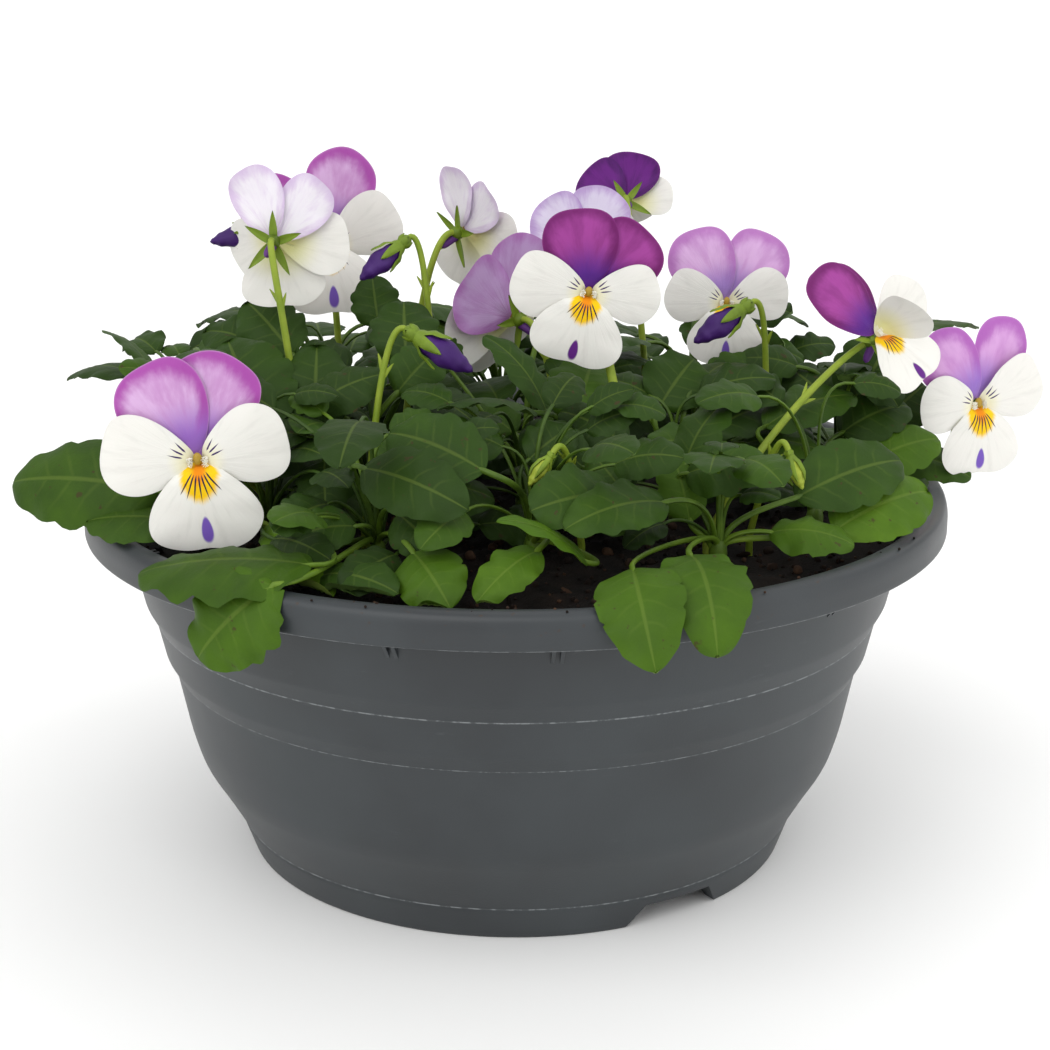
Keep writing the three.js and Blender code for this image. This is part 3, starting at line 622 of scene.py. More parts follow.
def soil_height(x, y):
    """Height of the smooth mound with its broad lumps."""
    broad = math.sin(x * 0.21 + 1.3) * math.cos(y * 0.17)
    lumps = broad + 0.6 * math.sin(x * 0.37 - y * 0.43)
    mound = 1 - (x * x + y * y) / MOUND_RADIUS**2
    lift = SOIL["bump"] * lumps * min(1, 4 * mound)
    return SOIL["edge"] + (SOIL["crown"] - SOIL["edge"]) * mound + lift


def crumbled(x, y):
    """Height of the crumbly surface in mm."""
    fine = noise.fractal((x * 0.16, y * 0.16, SOIL_SEED), 0.9, 2.1, 4)
    return soil_height(x, y) + SOIL["fine"] * fine


SOIL_WALL = [(0, FLOOR_TOP + 0.3), (74.2, 8.7), (84.4, 26), (91, 53), (102.2, 90)]
SOIL_RINGS = 46
rings = [(SOIL["radius"] * (1 - i / SOIL_RINGS), SOIL["edge"]) for i in range(SOIL_RINGS + 1)]
soil_shape = turned([(r, z, 0) for r, z in SOIL_WALL + rings], 200)
for point in soil_shape.verts:
    if point.co.z > SOIL["edge"] - 0.01:
        point.co.z = crumbled(point.co.x, point.co.y)
print("compost faces:", len(soil_shape.faces))

# %% [markdown]
# Loose crumbs are icospheres of twenty faces, or eighty for a big one, bent out of round by
# noise. Bark chips are the same lump drawn out long and flat.

# %% Crumbs, bark chips and fibres
CRUMB_SEED = 31
soil_shape.loops.layers.uv.new(PATTERN)
soil_shape.verts.layers.float.new("rim")
soil_shape.verts.layers.float.new("tone")
draw = random.Random(CRUMB_SEED)


def anywhere(inner_radius, outer_radius):
    """A random place in a ring, even over its area."""
    turn = draw.uniform(0, 2 * math.pi)
    radius = math.sqrt(draw.uniform(inner_radius**2, outer_radius**2))
    return radius * math.cos(turn), radius * math.sin(turn)


def random_turn():
    """Any turn about an axis that mostly lies down."""
    return Matrix.Rotation(draw.uniform(0, 6.28), 4, (draw.random(), draw.random(), 0.4))


def add_crumb(shape, x, y, z, size, stretch=(1, 1, 1)):
    """A lump: an icosphere bent out of round, size mm across its radius."""
    stretched = Matrix.Diagonal((*[size * s for s in stretch], 1))
    place = Matrix.Translation((x, y, z)) @ random_turn() @ stretched
    level = 2 if size > 1.1 else 1
    points = bmesh.ops.create_icosphere(shape, subdivisions=level, radius=1, matrix=place)["verts"]
    middle = Vector((x, y, z))
    for point in points:
        bent = 1 + 0.35 * noise.noise(point.co * (1.4 / size))
        point.co = middle + (point.co - middle) * bent
    dress(shape, points, 0, draw.random())


print("crumb seed:", CRUMB_SEED)

# %% [markdown]
# Crumbs lie all over the surface, and a few on the rim, where planting and watering left them.
# They could be a particle system, but a loop with a seed gives the same heap each time.

# %% Scattering them
CRUMBS = 1700
CHIPS = 120
RIM_CRUMBS = 90
BATCH = 50


def crumb(shape):
    """A crumb of peat: most are small, a few are lumps."""
    x, y = anywhere(0, 102)
    size = 0.35 + 1.2 * draw.random() ** 3
    add_crumb(shape, x, y, crumbled(x, y) + 0.25 * size, size)


def chip(shape):
    """A chip of bark or a length of fibre, lying flat."""
    x, y = anywhere(0, 99)
    long = draw.uniform(2, 5)
    add_crumb(shape, x, y, crumbled(x, y) + 0.5, draw.uniform(0.5, 1.1), (long, 1, 0.45))


def rim_crumb(shape):
    """A speck of peat on the rim, lower where the rim slopes inward."""
    x, y = anywhere(104.6, 113.6)
    slope = max(0, 108.2 - math.hypot(x, y))
    add_crumb(shape, x, y, RIM_TOP - 0.1 - slope * 1.4, draw.uniform(0.16, 0.5))


def scatter(target, one, count):
    """Adds count lumps, a batch at a time: an operator is quick on a small shape only."""
    batch = bpy.data.meshes.new("batch")
    for start in range(0, count, BATCH):
        lumps = new_shape()
        for _ in range(min(BATCH, count - start)):
            one(lumps)
        lumps.to_mesh(batch)
        lumps.free()
        target.from_mesh(batch)
    bpy.data.meshes.remove(batch)


scatter(soil_shape, crumb, CRUMBS)
scatter(soil_shape, chip, CHIPS)
scatter(soil_shape, rim_crumb, RIM_CRUMBS)
print("compost faces with crumbs:", len(soil_shape.faces))

# %% [markdown]
# Wet peat is almost black, and dry crumbs and bark are lighter and redder. Each crumb has a
# tone of its own, and two sizes of noise break that up. It is quite matt, with a faint damp
# shine in the hollows.

# %% Peat compost
peat, tree, surface = new_finish("damp peat compost", 0.9, IOR=1.4, Specular_IOR_Level=0.3)
where = add(tree, "TexCoord", {}, {}, "Object")
clods = add(tree, "TexNoise", {}, {"Vector": where, "Scale": per_mm(6), "Detail": 6})
tone = add(tree, "Attribute", {"attribute_name": "tone"}, {}, "Fac")
mixed = add(tree, "Math", TIMES_PLUS, [tone, 0.45, clods])
earth = with_stops(
    add(tree, "ValToRGB", {}, {"Fac": mixed}),
    [(0.35, "#0d0a08"), (0.6, "#1a1410"), (0.8, "#2c2019"), (0.95, "#4a3628")],
)
tree.links.new(earth, surface.inputs["Base Color"])
fine = add(tree, "TexNoise", {}, {"Vector": where, "Scale": per_mm(0.8), "Detail": 5})
bump = add(tree, "Bump", {}, {"Strength": 1, "Distance": 0.35 * MM, "Height": fine})
tree.links.new(bump, surface.inputs["Normal"])
keep(soil_shape, "compost", [peat], ["soil"])

# %% [markdown]
# ## The form of a petal
# A petal is nearly round, widest past its middle, and narrows to a claw at the throat. Its
# outline is a formula in the angle round its middle. A square grid is pressed into a disc and
# the disc into that outline, which keeps its faces even. The petal is a little cupped, waved
# at its edge, and its claw goes back into the throat.

# %% Petal outlines in the bloom's own frame, at full size
THROAT_BACK = -0.4  # mm, how far in front of the bloom's middle the claws meet
PETALS = {
    "upper left": {"start": (-1, 1.5), "turn": -19, "length": 24, "width": 24.5, "depth": 0.5,
                   "obovate": 0.3, "lean": -2.0, "wave": 0.45},
    "upper right": {"start": (1, 1.5), "turn": 21, "length": 24, "width": 24.5, "depth": -0.5,
                    "obovate": 0.3, "lean": -2.0, "wave": 0.45},
    "side left": {"start": (-1, 0.8), "turn": -81, "length": 21.5, "width": 20, "depth": 1.9,
                  "obovate": 0.38, "lean": -0.7, "wave": 0.3},
    "side right": {"start": (1, 0.8), "turn": 76, "length": 21.5, "width": 20, "depth": 2.1,
                   "obovate": 0.38, "lean": -0.7, "wave": 0.3},
    "lower": {"start": (0, 0.3), "turn": 180, "length": 21.8, "width": 29.5, "depth": 3,
              "obovate": 0.36, "lean": 0.3, "wave": 0.4, "notch": 0.9},
}
PETAL_GRID = 26
PETAL_THICK = 0.28
CUP = 0.5
FAN_REACH = 30  # mm that the fan pattern's second number spans


def petal_edge(petal, t, flutter):
    """Edge point at the angle t from the claw, across and along the petal."""
    broad = 1 - petal["obovate"] * math.cos(t)
    across = petal["width"] / 2 * math.sin(t) * broad / (1 + 0.3 * petal["obovate"])
    dip = petal.get("notch", 0) * math.exp(-(((t - math.pi) / 0.22) ** 2))
    along = petal["length"] / 2 * (1 - math.cos(t)) - dip
    fine = 1 + 0.012 * math.sin(5 * t + flutter) * math.sin(t / 2)
    return across * fine, along * fine


def in_disc(u, v):
    """A square pressed into a disc: distance from its middle and angle from its foot."""
    a, b = 2 * u - 1, 2 * v - 1
    x, y = a * math.sqrt(1 - b * b / 2), b * math.sqrt(1 - a * a / 2)
    return math.hypot(x, y), math.atan2(x, -y) % (2 * math.pi)


print("petals to a bloom:", len(PETALS))

# %% [markdown]
# Each petal is laid out upward from its claw and then turned to its place round the throat, and
# folded or twisted where a bloom has been knocked. The fan pattern that goes with it holds the
# angle round the claw and the distance from it, for the streaks and lines to follow.

# %% A petal in its place
def petal_place(petal, bloom, flutter, mirror=1):
    """The function that puts the grid's points on this petal of this bloom."""
    turn = Matrix.Rotation(-math.radians(petal["turn"]), 3, "Z")
    fold = Matrix.Rotation(math.radians(petal.get("fold", 0)), 3, "X")
    twist = Matrix.Rotation(math.radians(petal.get("twist", 0)), 3, "Y")
    lay = turn @ fold @ twist
    length = petal["length"]

    def place(u, v):
        far, t = in_disc(u, v)
        edge_across, edge_along = petal_edge(petal, t, flutter)
        across = far * edge_across
        along = length / 2 + far * (edge_along - length / 2)
        share = along / length
        wave = petal["wave"] * far**3 * math.sin(3 * t + flutter) * math.sin(t / 2)
        wave += 0.35 * petal["wave"] * far**2 * math.sin(7 * t + 2 * flutter)
        claw = max(0, 1 - share / 0.22) ** 2
        lift = petal["depth"] + CUP * (1 - far**2) + wave + petal["lean"] * share**2
        lift += (THROAT_BACK - lift) * claw
        spot = lay @ Vector((across, along, lift)) + Vector((*petal["start"], 0))
        angle = math.atan2(mirror * across, max(along, 0.01))
        fan = (0.5 + angle / math.pi, math.hypot(across, along) / FAN_REACH)
        return bloom @ spot, fan, far

    return place


print("fan pattern reaches", FAN_REACH, "mm from the claw")

# %% [markdown]
# ## What holds a bloom
# Behind the petals sits a green receptacle with five pointed sepals, each with a short lobe
# that points back. The lowest petal runs back into a spur. The stalk comes straight out of
# the compost and bends over at its top, and half way up it bears two tiny scale leaves.

# %% Sepals, spur and stalk
BRACTS_AT = 15  # the point of the stalk's path, of 27, where its bracts sit
STALK = {"foot": 86.4, "collar": 12, "radius": 0.95, "hook": 9}
SEPALS = [  # start behind the petals, turn from up, how far its tip bends back, length, width
    (-2.35, 8, 1.5, 9, 3),
    (-2.5, -62, 2, 9, 3),
    (-2.65, 68, 2, 9, 3),
    (-2.8, -142, 1.2, 10.5, 3.2),
    (-2.95, 146, 1.2, 10.5, 3.2),
]
SEPAL_THICK = 0.45
SEPAL_LOBE = 2.6  # mm, the lobe behind the joint
GREEN, VIOLET = 0, 1  # finishes of the green parts, in their order on the piece


def add_sepal(shape, bloom, size, start, turn, back, length, width):
    """One pointed sepal that spreads behind the petals, with its lobe."""
    angle = math.radians(turn)
    out = Vector((math.sin(angle), math.cos(angle), 0))
    side = Vector((math.cos(angle), -math.sin(angle), 0))

    def place(u, v):
        a = 2 * u - 1
        along = -SEPAL_LOBE + (length + SEPAL_LOBE) * v
        wide = width / 2 * math.sin(math.pi * min(1, 0.12 + 0.88 * v)) ** 0.8 * (1 - 0.25 * v)
        wide = max(wide, 0) * (0.75 if along < 0 else 1)
        ends = 0 if v in (0, 1) else 1
        past = max(0, along) / length
        lift = start + (-2.3 - back - start) * past**1.3 - 0.5 * a * a
        if along < 0:
            lift += 0.9 * along
        spot = out * max(0.9, 1.4 + max(along, 0) * 0.96) + side * (a * wide * ends)
        return bloom @ (spot + Vector((0, 0, lift))), (u, v), max(abs(a), abs(2 * v - 1) ** 3)

    face = (bloom.to_3x3() @ Vector((0, 0, 1))).normalized()
    add_blade(shape, 6, 14, place, SEPAL_THICK * size, face, (GREEN, GREEN), 0.45)


print("sepals to a bloom:", len(SEPALS))

# %% [markdown]
# The stalk is one tube from the compost to the back of the bloom. Its path is a Bezier curve
# that ends in line with the bloom, which gives the hook at its top.

# %% Stalks
def stalk_path(foot, end, outward, hook):
    """Up out of the compost, then over into the back of the bloom or bud."""
    start = Vector((*foot, STALK["foot"]))
    collar = start + UP * STALK["collar"]
    middle = start.lerp(end, 0.25)
    middle.z = start.z + (end.z - start.z) * 0.62
    arrive = end - outward * hook + UP * (hook * 0.35)
    return [start, *bezier([collar, middle, arrive, end], 26)]


def add_scale_leaves(shape, path, i):
    """Two tiny narrow bracts, opposite each other on the stalk at the path's point i."""
    way = (path[i + 1] - path[i]).normalized()
    side = way.cross(Vector((0.3, 0.9, 0.1))).normalized()
    for half in (-1, 1):
        joint = path[i] + way * (0.8 * half)
        out = (side * half * 0.55 + way).normalized()
        leaf_path = [joint + out * (4.6 * t) for t in (0, 0.3, 0.6, 0.85, 1)]
        add_tube(shape, leaf_path, lambda s: (0.75 * (1 - s) + 0.08, 0.2), 6, GREEN, 0.6, side)


def add_stalk(shape, foot, end, outward, hook, radius, tone):
    """A stalk that is a little thicker at its foot, with its two bracts."""
    path = stalk_path(foot, end, outward, hook)
    add_tube(shape, path, lambda s: radius * (1.06 - 0.16 * s), 12, GREEN, tone)
    add_scale_leaves(shape, path, BRACTS_AT)


print("stalk foot at", STALK["foot"], "mm")

# %% [markdown]
# The receptacle is a short swelling and the spur a blunt bag, so both are tubes with a radius
# that follows a formula or a few girths.

# %% Receptacle and spur
SPUR = ((0, -0.4, -1.5), (0, -1.6, -5), (0, -3, -7.6), (0, -4, -9.2))
HUB = ((0.2, -0.9), (0.2, -1.6), (0.3, -2.8), (0.5, -4.1), (0.6, -5), (0.6, -5.4))
HUB_GIRTH = (1.2, 2.1, 2.35, 1.95, 1.4, 0.7)


def add_calyx(shape, bloom, size):
    """Receptacle, sepals and spur of an open bloom."""
    hub = [bloom @ Vector((0, y, z)) for y, z in HUB]
    add_tube(shape, hub, lambda s: size * HUB_GIRTH[round(s * 5)], 14, GREEN, 0.3)
    for sepal in SEPALS:
        add_sepal(shape, bloom, size, *sepal)
    spur = bezier([bloom @ Vector(point) for point in SPUR], 9)
    add_tube(shape, spur, lambda s: size * 1.5 * math.sqrt(max(0.02, 1 - s**5)), 12, VIOLET, 0.5)


print("spur ends", -SPUR[-1][2], "mm behind the bloom")

# %% [markdown]
# ## Petal materials
# A petal is a thin layer of soft cells, velvety on its face: the colour lies in the cells, so
# it fades in streaks that fan out from the claw. The fan pattern holds the angle round the
# claw and the distance from it, so a noise that is stretched along the distance gives the
# streaks. The face has a little sheen and hardly any gloss. Light goes through, which a small
# subsurface share stands for.

# %% Colours of the upper petals: edge, middle, claw and back
HUES = {
    "lilac": ("#a04a9f", "#cfaad3", "#8f62b6", "#c39dd2"),
    "purple": ("#6a1a60", "#9a3f90", "#552384", "#8557a4"),
    "pale": ("#a87fc2", "#d6c6e6", "#9f86c6", "#dcd3ea"),
    "dark": ("#3a0f50", "#7a2a8c", "#3c1a70", "#66217c"),
    "white": ("#c9aed6", "#e6e0ec", "#c9badf", "#ebe6ee"),
    "mauve": ("#a860b0", "#cf9fd2", "#9470c2", "#c6a2d4"),
    "rose": ("#b274b8", "#d8b0dc", "#a07fc6", "#dcc8e6"),
}


def fan_position(tree):
    """The fan pattern as angle round the claw in degrees, distance in mm, and both together."""
    mark = add(tree, "UVMap", {"uv_map": PATTERN}, {})
    parts = add(tree, "SeparateXYZ", {}, {"Vector": mark}).node
    angle = add(tree, "Math", TIMES_PLUS, [parts.outputs["X"], 180, -90])
    reach = add(tree, "Math", TIMES, [parts.outputs["Y"], FAN_REACH])
    return angle, reach, mark


def streaks(tree, mark, count, seed):
    """Noise stretched along the petal: about count streaks over the half turn."""
    spread = add(
        tree, "Mapping", {}, {"Vector": mark, "Scale": (count, 2.6, 1), "Location": (seed, 0, seed)}
    )
    return add(tree, "TexNoise", {}, {"Vector": spread, "Scale": 1, "Detail": 4, "Roughness": 0.6})


def velvet(name, colour_of):
    """A petal skin whose colour the function builds from its tree."""
    skin, tree, surface = new_finish(
        name, 0.62, IOR=1.38, Specular_IOR_Level=0.25, Sheen_Weight=0.15, Sheen_Roughness=0.5,
        Subsurface_Weight=0.12, Subsurface_Radius=(1, 0.8, 0.9), Subsurface_Scale=0.6 * MM,
    )
    tree.links.new(colour_of(tree), surface.inputs["Base Color"])
    ribs = streaks(tree, fan_position(tree)[2], 70, 5)
    bump = add(tree, "Bump", {}, {"Strength": 0.7, "Distance": 0.12 * MM, "Height": ribs})
    tree.links.new(bump, surface.inputs["Normal"])
    return skin


print("hues:", ", ".join(HUES))

# %% [markdown]
# An upper petal is darkest at its edge and at its claw and pale between, and the dark runs in
# from both along the streaks. Its back shows the same colours through, only paler. One recipe
# serves all hues, so a change to it reaches every bloom.

# %% Faces and backs of the upper petals
def lilac_face(hue, seed):
    """The face's colour: edge and claw run into the pale middle along the streaks."""
    edge, middle, claw, _ = [srgb(code) for code in HUES[hue]]

    def colour(tree):
        _, reach, mark = fan_position(tree)
        rim = add(tree, "Attribute", {"attribute_name": "rim"}, {}, "Fac")
        fan = streaks(tree, mark, 17, seed)
        broad = streaks(tree, mark, 4, seed + 3)
        near_edge = add(tree, "Math", TIMES_PLUS, [broad, 0.5, rim])
        near_edge = add(tree, "Math", TIMES_PLUS, [fan, 0.25, near_edge])
        outer = add(tree, "MapRange", SMOOTH, [near_edge, 0.95, 1.3, 0, 1])
        spread = add(tree, "Math", TIMES_PLUS, [fan, 6, reach])
        inner = add(tree, "MapRange", SMOOTH, [spread, 7, 19, 1, 0])
        streaked = add(tree, "MapRange", SMOOTH, [fan, 0.35, 0.7, 0, 0.4])
        body = add(tree, "Mix", COLOUR_MIX, {0: streaked, 6: middle, 7: edge}, 2)
        body = add(tree, "Mix", COLOUR_MIX, {0: outer, 6: body, 7: edge}, 2)
        body = add(tree, "Mix", COLOUR_MIX, {0: inner, 6: body, 7: claw}, 2)
        thin_edge = add(tree, "MapRange", SMOOTH, [rim, 0.97, 1, 0, 0.35])
        return add(tree, "Mix", COLOUR_MIX, {0: thin_edge, 6: body, 7: middle}, 2)

    return colour


def lilac_back(hue, seed):
    """The back's colour: paler, with the edge's colour showing through near the rim."""
    edge, _, _, back = [srgb(code) for code in HUES[hue]]

    def colour(tree):
        fan = streaks(tree, fan_position(tree)[2], 16, seed + 7)
        rim = add(tree, "Attribute", {"attribute_name": "rim"}, {}, "Fac")
        near_edge = add(tree, "Math", TIMES_PLUS, [fan, 0.6, rim])
        outer = add(tree, "MapRange", SMOOTH, [near_edge, 0.9, 1.35, 0, 0.75])
        tinted = add(tree, "Mix", COLOUR_MIX, {0: outer, 6: back, 7: edge}, 2)
        streaked = add(tree, "MapRange", SMOOTH, [fan, 0.45, 0.7, 0, 0.3])
        return add(tree, "Mix", COLOUR_MIX, {0: streaked, 6: tinted, 7: edge}, 2)

    return colour


def lilac_skins(hue, seed):
    """Face and back of the upper petals in one of the plant's hues."""
    return [
        velvet(f"horned violet petal face {hue}", lilac_face(hue, seed)),
        velvet(f"horned violet petal back {hue}", lilac_back(hue, seed)),
    ]


UPPER_SKINS = {hue: lilac_skins(hue, 2.7 * i) for i, hue in enumerate(HUES)}
print("petal hues:", ", ".join(UPPER_SKINS))

# %% [markdown]
# The three white petals carry the signs that guide a bee. The lowest has an orange and yellow
# eye at its claw, seven dark lines that fan out over it, and a violet blotch near its edge.
# Each side petal has three short dark whiskers on its upper side. All of these are drawn by
# measure: an angle from the petal's middle and a distance from its claw, in millimetres.

# %% Markings of the white petals
WHITE, SHADED, LINE, YELLOW, ORANGE = "#e6e4de", "#d6d4ce", "#2b1a3a", "#f2c400", "#ea8a00"
WHISKER, CLAW, WASH = "#3d2560", "#f2ecb0", "#dcd98c"
LINE_FADE = 0.06  # mm over which a line's edge fades


def plain_white(tree, reach, mark):
    """White with the faintest darker streaks, and a breath of yellow at the claw."""
    fan = streaks(tree, mark, 24, 1.3)
    streaked = add(tree, "MapRange", SMOOTH, [fan, 0.5, 0.75, 0, 0.5])
    body = add(tree, "Mix", COLOUR_MIX, {0: streaked, 6: srgb(WHITE), 7: srgb(SHADED)}, 2)
    near_claw = add(tree, "MapRange", SMOOTH, [reach, 2, 7, 0.5, 0])
    return add(tree, "Mix", COLOUR_MIX, {0: near_claw, 6: body, 7: srgb(CLAW)}, 2)


def white_back(tree):
    """The outside is white too, but for a wash of greenish yellow at the claw."""
    _, reach, mark = fan_position(tree)
    body = plain_white(tree, reach, mark)
    washed = add(tree, "MapRange", SMOOTH, [reach, 3, 15, 0.85, 0])
    return add(tree, "Mix", COLOUR_MIX, {0: washed, 6: body, 7: srgb(WASH)}, 2)


print("white:", WHITE, "shaded:", SHADED)

# %% [markdown]
# A line that fans out from the claw is a place where the angle is near a whole number of steps.
# The Ping Pong setting of a Math node folds the angle into the distance from the nearest such
# step, and the arc that it spans is compared with half the line's width at that reach.

# %% Lines, and the side petals' whiskers
def line_mask(tree, angle, reach, spacing, shift, width, ends):
    """Lines that fan out from the claw, spacing degrees apart, width mm wide where broadest."""
    start, full, narrow, end = ends
    shifted = add(tree, "Math", PLUS, [angle, shift])
    off = add(tree, "Math", {"operation": "PINGPONG"}, [shifted, spacing / 2])
    off = add(tree, "Math", RADIANS, [off])
    off_mm = add(tree, "Math", TIMES, [off, reach])
    swell = add(tree, "MapRange", SMOOTH, [reach, start, full, 0, 1])
    taper = add(tree, "MapRange", SMOOTH, [reach, narrow, end, 1, 0])
    half = add(tree, "Math", TIMES, [swell, taper])
    half = add(tree, "Math", TIMES, [half, width / 2])
    inside = add(tree, "Math", MINUS, [half, off_mm])
    return add(tree, "MapRange", SMOOTH, [inside, 0, LINE_FADE, 0, 1])


def side_face(tree):
    """White side petal: whiskers 9, 26 and 43 degrees from its middle, toward its upper side."""
    angle, reach, mark = fan_position(tree)
    body = plain_white(tree, reach, mark)
    drawn = line_mask(tree, angle, reach, 17, 8, 0.46, (2.4, 3.4, 4.2, 7))
    for limits in ([angle, 2, 3, 0, 1], [angle, 53, 54, 1, 0]):
        within = add(tree, "MapRange", SMOOTH, limits)
        drawn = add(tree, "Math", TIMES, [drawn, within])
    return add(tree, "Mix", COLOUR_MIX, {0: drawn, 6: body, 7: srgb(WHISKER)}, 2)


print("lines fade over", LINE_FADE, "mm")

# %% [markdown]
# The lowest petal's signs are laid over its white one by one: first the eye, yellow and then
# orange nearer the claw, then the lines over it, and last the blotch, which is a soft teardrop
# and sits lower and darker on some blooms than on others.

# %% Eye and lines of the lowest petal
def with_eye(tree, body, angle, reach, fan):
    """The eye at the claw, wider than it is long, with an edge that follows the streaks."""
    bent = add(tree, "Math", TIMES_PLUS, [fan, 3, reach])
    aside = add(tree, "Math", UNSIGNED, [angle])
    wide = add(tree, "Math", TIMES_PLUS, [aside, 0.07, bent])
    for code, inner, outer in ((YELLOW, 10, 12.2), (ORANGE, 5.2, 8.6)):
        share = add(tree, "MapRange", SMOOTH, [wide, inner, outer, 1, 0])
        body = add(tree, "Mix", COLOUR_MIX, {0: share, 6: body, 7: srgb(code)}, 2)
    return body


def with_lines(tree, body, angle, reach):
    """Seven dark lines, 12 degrees apart, the outer ones shorter."""
    drawn = line_mask(tree, angle, reach, 12, 0, 0.46, (2.4, 4, 5.5, 11))
    aside = add(tree, "Math", UNSIGNED, [angle])
    longer_aside = add(tree, "Math", TIMES_PLUS, [aside, 0.05, reach])
    for limits in ([longer_aside, 9.6, 10.8, 1, 0], [aside, 40, 42, 1, 0]):
        within = add(tree, "MapRange", SMOOTH, limits)
        drawn = add(tree, "Math", TIMES, [drawn, within])
    return add(tree, "Mix", COLOUR_MIX, {0: drawn, 6: body, 7: srgb(LINE)}, 2)


print("eye from", ORANGE, "to", YELLOW)

# %% [markdown]
# The blotch is an ellipse measured in millimetres, whose width grows toward the petal's edge.
# Streaks run into its outline. With it the three white petals have all their signs, and the
# skins are listed in the order that the pieces use.

# %% Blotch, and the skins of the white petals
def with_blotch(tree, body, angle, reach, fan, code, place):
    """A teardrop of the hex colour, 7 mm long, wider toward the edge, place mm from the claw."""
    turn = add(tree, "Math", RADIANS, [angle])
    across = add(tree, "Math", {"operation": "SINE"}, [turn])
    across = add(tree, "Math", TIMES, [across, reach])
    down = add(tree, "Math", MINUS, [reach, place])
    down = add(tree, "Math", OVER, [down, 3.5])
    width = add(tree, "Math", TIMES_PLUS, [down, 0.5, 1.5])
    aside = add(tree, "Math", OVER, [across, width])
    aside = add(tree, "Math", SQUARE, [aside, 2])
    down = add(tree, "Math", SQUARE, [down, 2])
    off = add(tree, "Math", PLUS, [aside, down])
    off = add(tree, "Math", TIMES_PLUS, [fan, 0.35, off])
    share = add(tree, "MapRange", SMOOTH, [off, 0.75, 1.25, 1, 0])
    return add(tree, "Mix", COLOUR_MIX, {0: share, 6: body, 7: srgb(code)}, 2)


def lower_face(code, place):
    """The lowest petal, its blotch in the hex colour and place mm from the claw."""

    def colour(tree):
        angle, reach, mark = fan_position(tree)
        fan = streaks(tree, mark, 18, 8)
        body = plain_white(tree, reach, mark)
        body = with_eye(tree, body, angle, reach, fan)
        body = with_lines(tree, body, angle, reach)
        return with_blotch(tree, body, angle, reach, fan, code, place)

    return colour


WHITE_SKINS = [
    velvet("horned violet side petal face", side_face),
    velvet("horned violet white petal back", white_back),
    velvet("horned violet lowest petal face", lower_face("#7455b4", 16.2)),
    velvet("horned violet lowest petal face, dark blotch", lower_face("#5e1f7e", 17.6)),
]
beard, _, surface = new_finish("petal beard hairs", 0.7, Sheen_Weight=0.3)
surface.inputs["Base Color"].default_value = srgb("#f3f1e6")
stigma, _, surface = new_finish("stigma, waxy", 0.35, IOR=1.42)
surface.inputs["Base Color"].default_value = srgb("#a98a2c")
WHITE_SKINS += [beard, stigma]
print("white skins:", len(WHITE_SKINS))

# %% [markdown]
# Green stalks and sepals have a thin waxy skin over watery tissue: IOR near 1.4, softly
# glossy, with pale length streaks. Old sepals are darker than the young stalk. The tone that
# each part carries moves it between the two. The spur is violet, darkest at its tip.

# %% Green and violet plant skins
def fresh_green(name, stops, rough=0.5):
    """A waxy green or violet skin, shaded by patches and by the tone of each part."""
    skin, tree, surface = new_finish(name, rough, IOR=1.42, Specular_IOR_Level=0.4)
    where = add(tree, "TexCoord", {}, {}, "Object")
    patches = add(tree, "TexNoise", {}, {"Vector": where, "Scale": per_mm(5), "Detail": 4})
    tone = add(tree, "Attribute", {"attribute_name": "tone"}, {}, "Fac")
    shade = add(tree, "Math", TIMES_PLUS, [patches, 0.5, tone])
    shade = add(tree, "Math", MINUS, [shade, 0.25])
    colour = with_stops(add(tree, "ValToRGB", {}, {"Fac": shade}), stops)
    tree.links.new(colour, surface.inputs["Base Color"])
    mark = add(tree, "UVMap", {"uv_map": PATTERN}, {})
    lengthwise = add(tree, "Mapping", {}, {"Vector": mark, "Scale": (9, 1.5, 1)})
    ribs = add(tree, "TexNoise", {}, {"Vector": lengthwise, "Scale": 1})
    bump = add(tree, "Bump", {}, {"Strength": 0.6, "Distance": 0.12 * MM, "Height": ribs})
    tree.links.new(bump, surface.inputs["Normal"])
    return skin


stalk_green = fresh_green(
    "flower stalk and sepals", [(0.1, "#3d5013"), (0.45, "#718a22"), (0.85, "#a2b03c")]
)
spur_violet = fresh_green("petal spur violet", [(0.2, "#3b1458"), (0.7, "#6a3a86")], 0.55)
furled_violet = fresh_green(
    "furled petals violet", [(0.1, "#230a3c"), (0.5, "#3a1560"), (0.9, "#644190")], 0.55
)
print("plant skins ready")

# %% [markdown]
# ## The blooms
# Eleven blooms are open, each at its own height and turned its own way. Five petals, the calyx
# and the stalk are separate on the plant, so the two upper petals, the three white ones and
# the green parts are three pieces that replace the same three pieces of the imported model.

# %% Where each bloom stands and what it looks like
BLOOMS = [  # middle, azimuth, height, roll, size, foot of its stalk, hue
    ((-76.2, -62, 120.4), -3, 3, -5, 1, (-60, -34), "lilac"),
    ((18.2, -25, 154.3), 0, 0, 8, 0.82, (30, -34), "purple"),
    ((-62, -9, 165), 172, -6, -9, 0.82, (-54, -26), "white"),
    ((-50.3, 18, 159.3), 6, 0, -13, 0.92, (-48, 26), "lilac"),
    ((-14.3, 23, 162.6), 134, 4, -20, 0.82, (-32, 16), "white"),
    ((-0.8, 6, 141.8), -140, 0, 22, 0.88, (14, -2), "mauve"),
    ((31.8, 58, 165.2), 175, -24, 24, 0.72, (38, 34), "dark"),
    ((19.3, 30, 157.4), 182, -16, 12, 0.8, (24, 14), "pale"),
    ((57, 15, 144.2), 4, 4, 2, 0.76, (56, 22), "rose"),
    ((92.8, -20, 142.6), 74, 44, 0, 0.78, (47, -54), "purple"),
    ((123.4, 0, 119.5), 24, 0, -4, 0.88, (82, 14), "mauve"),
]
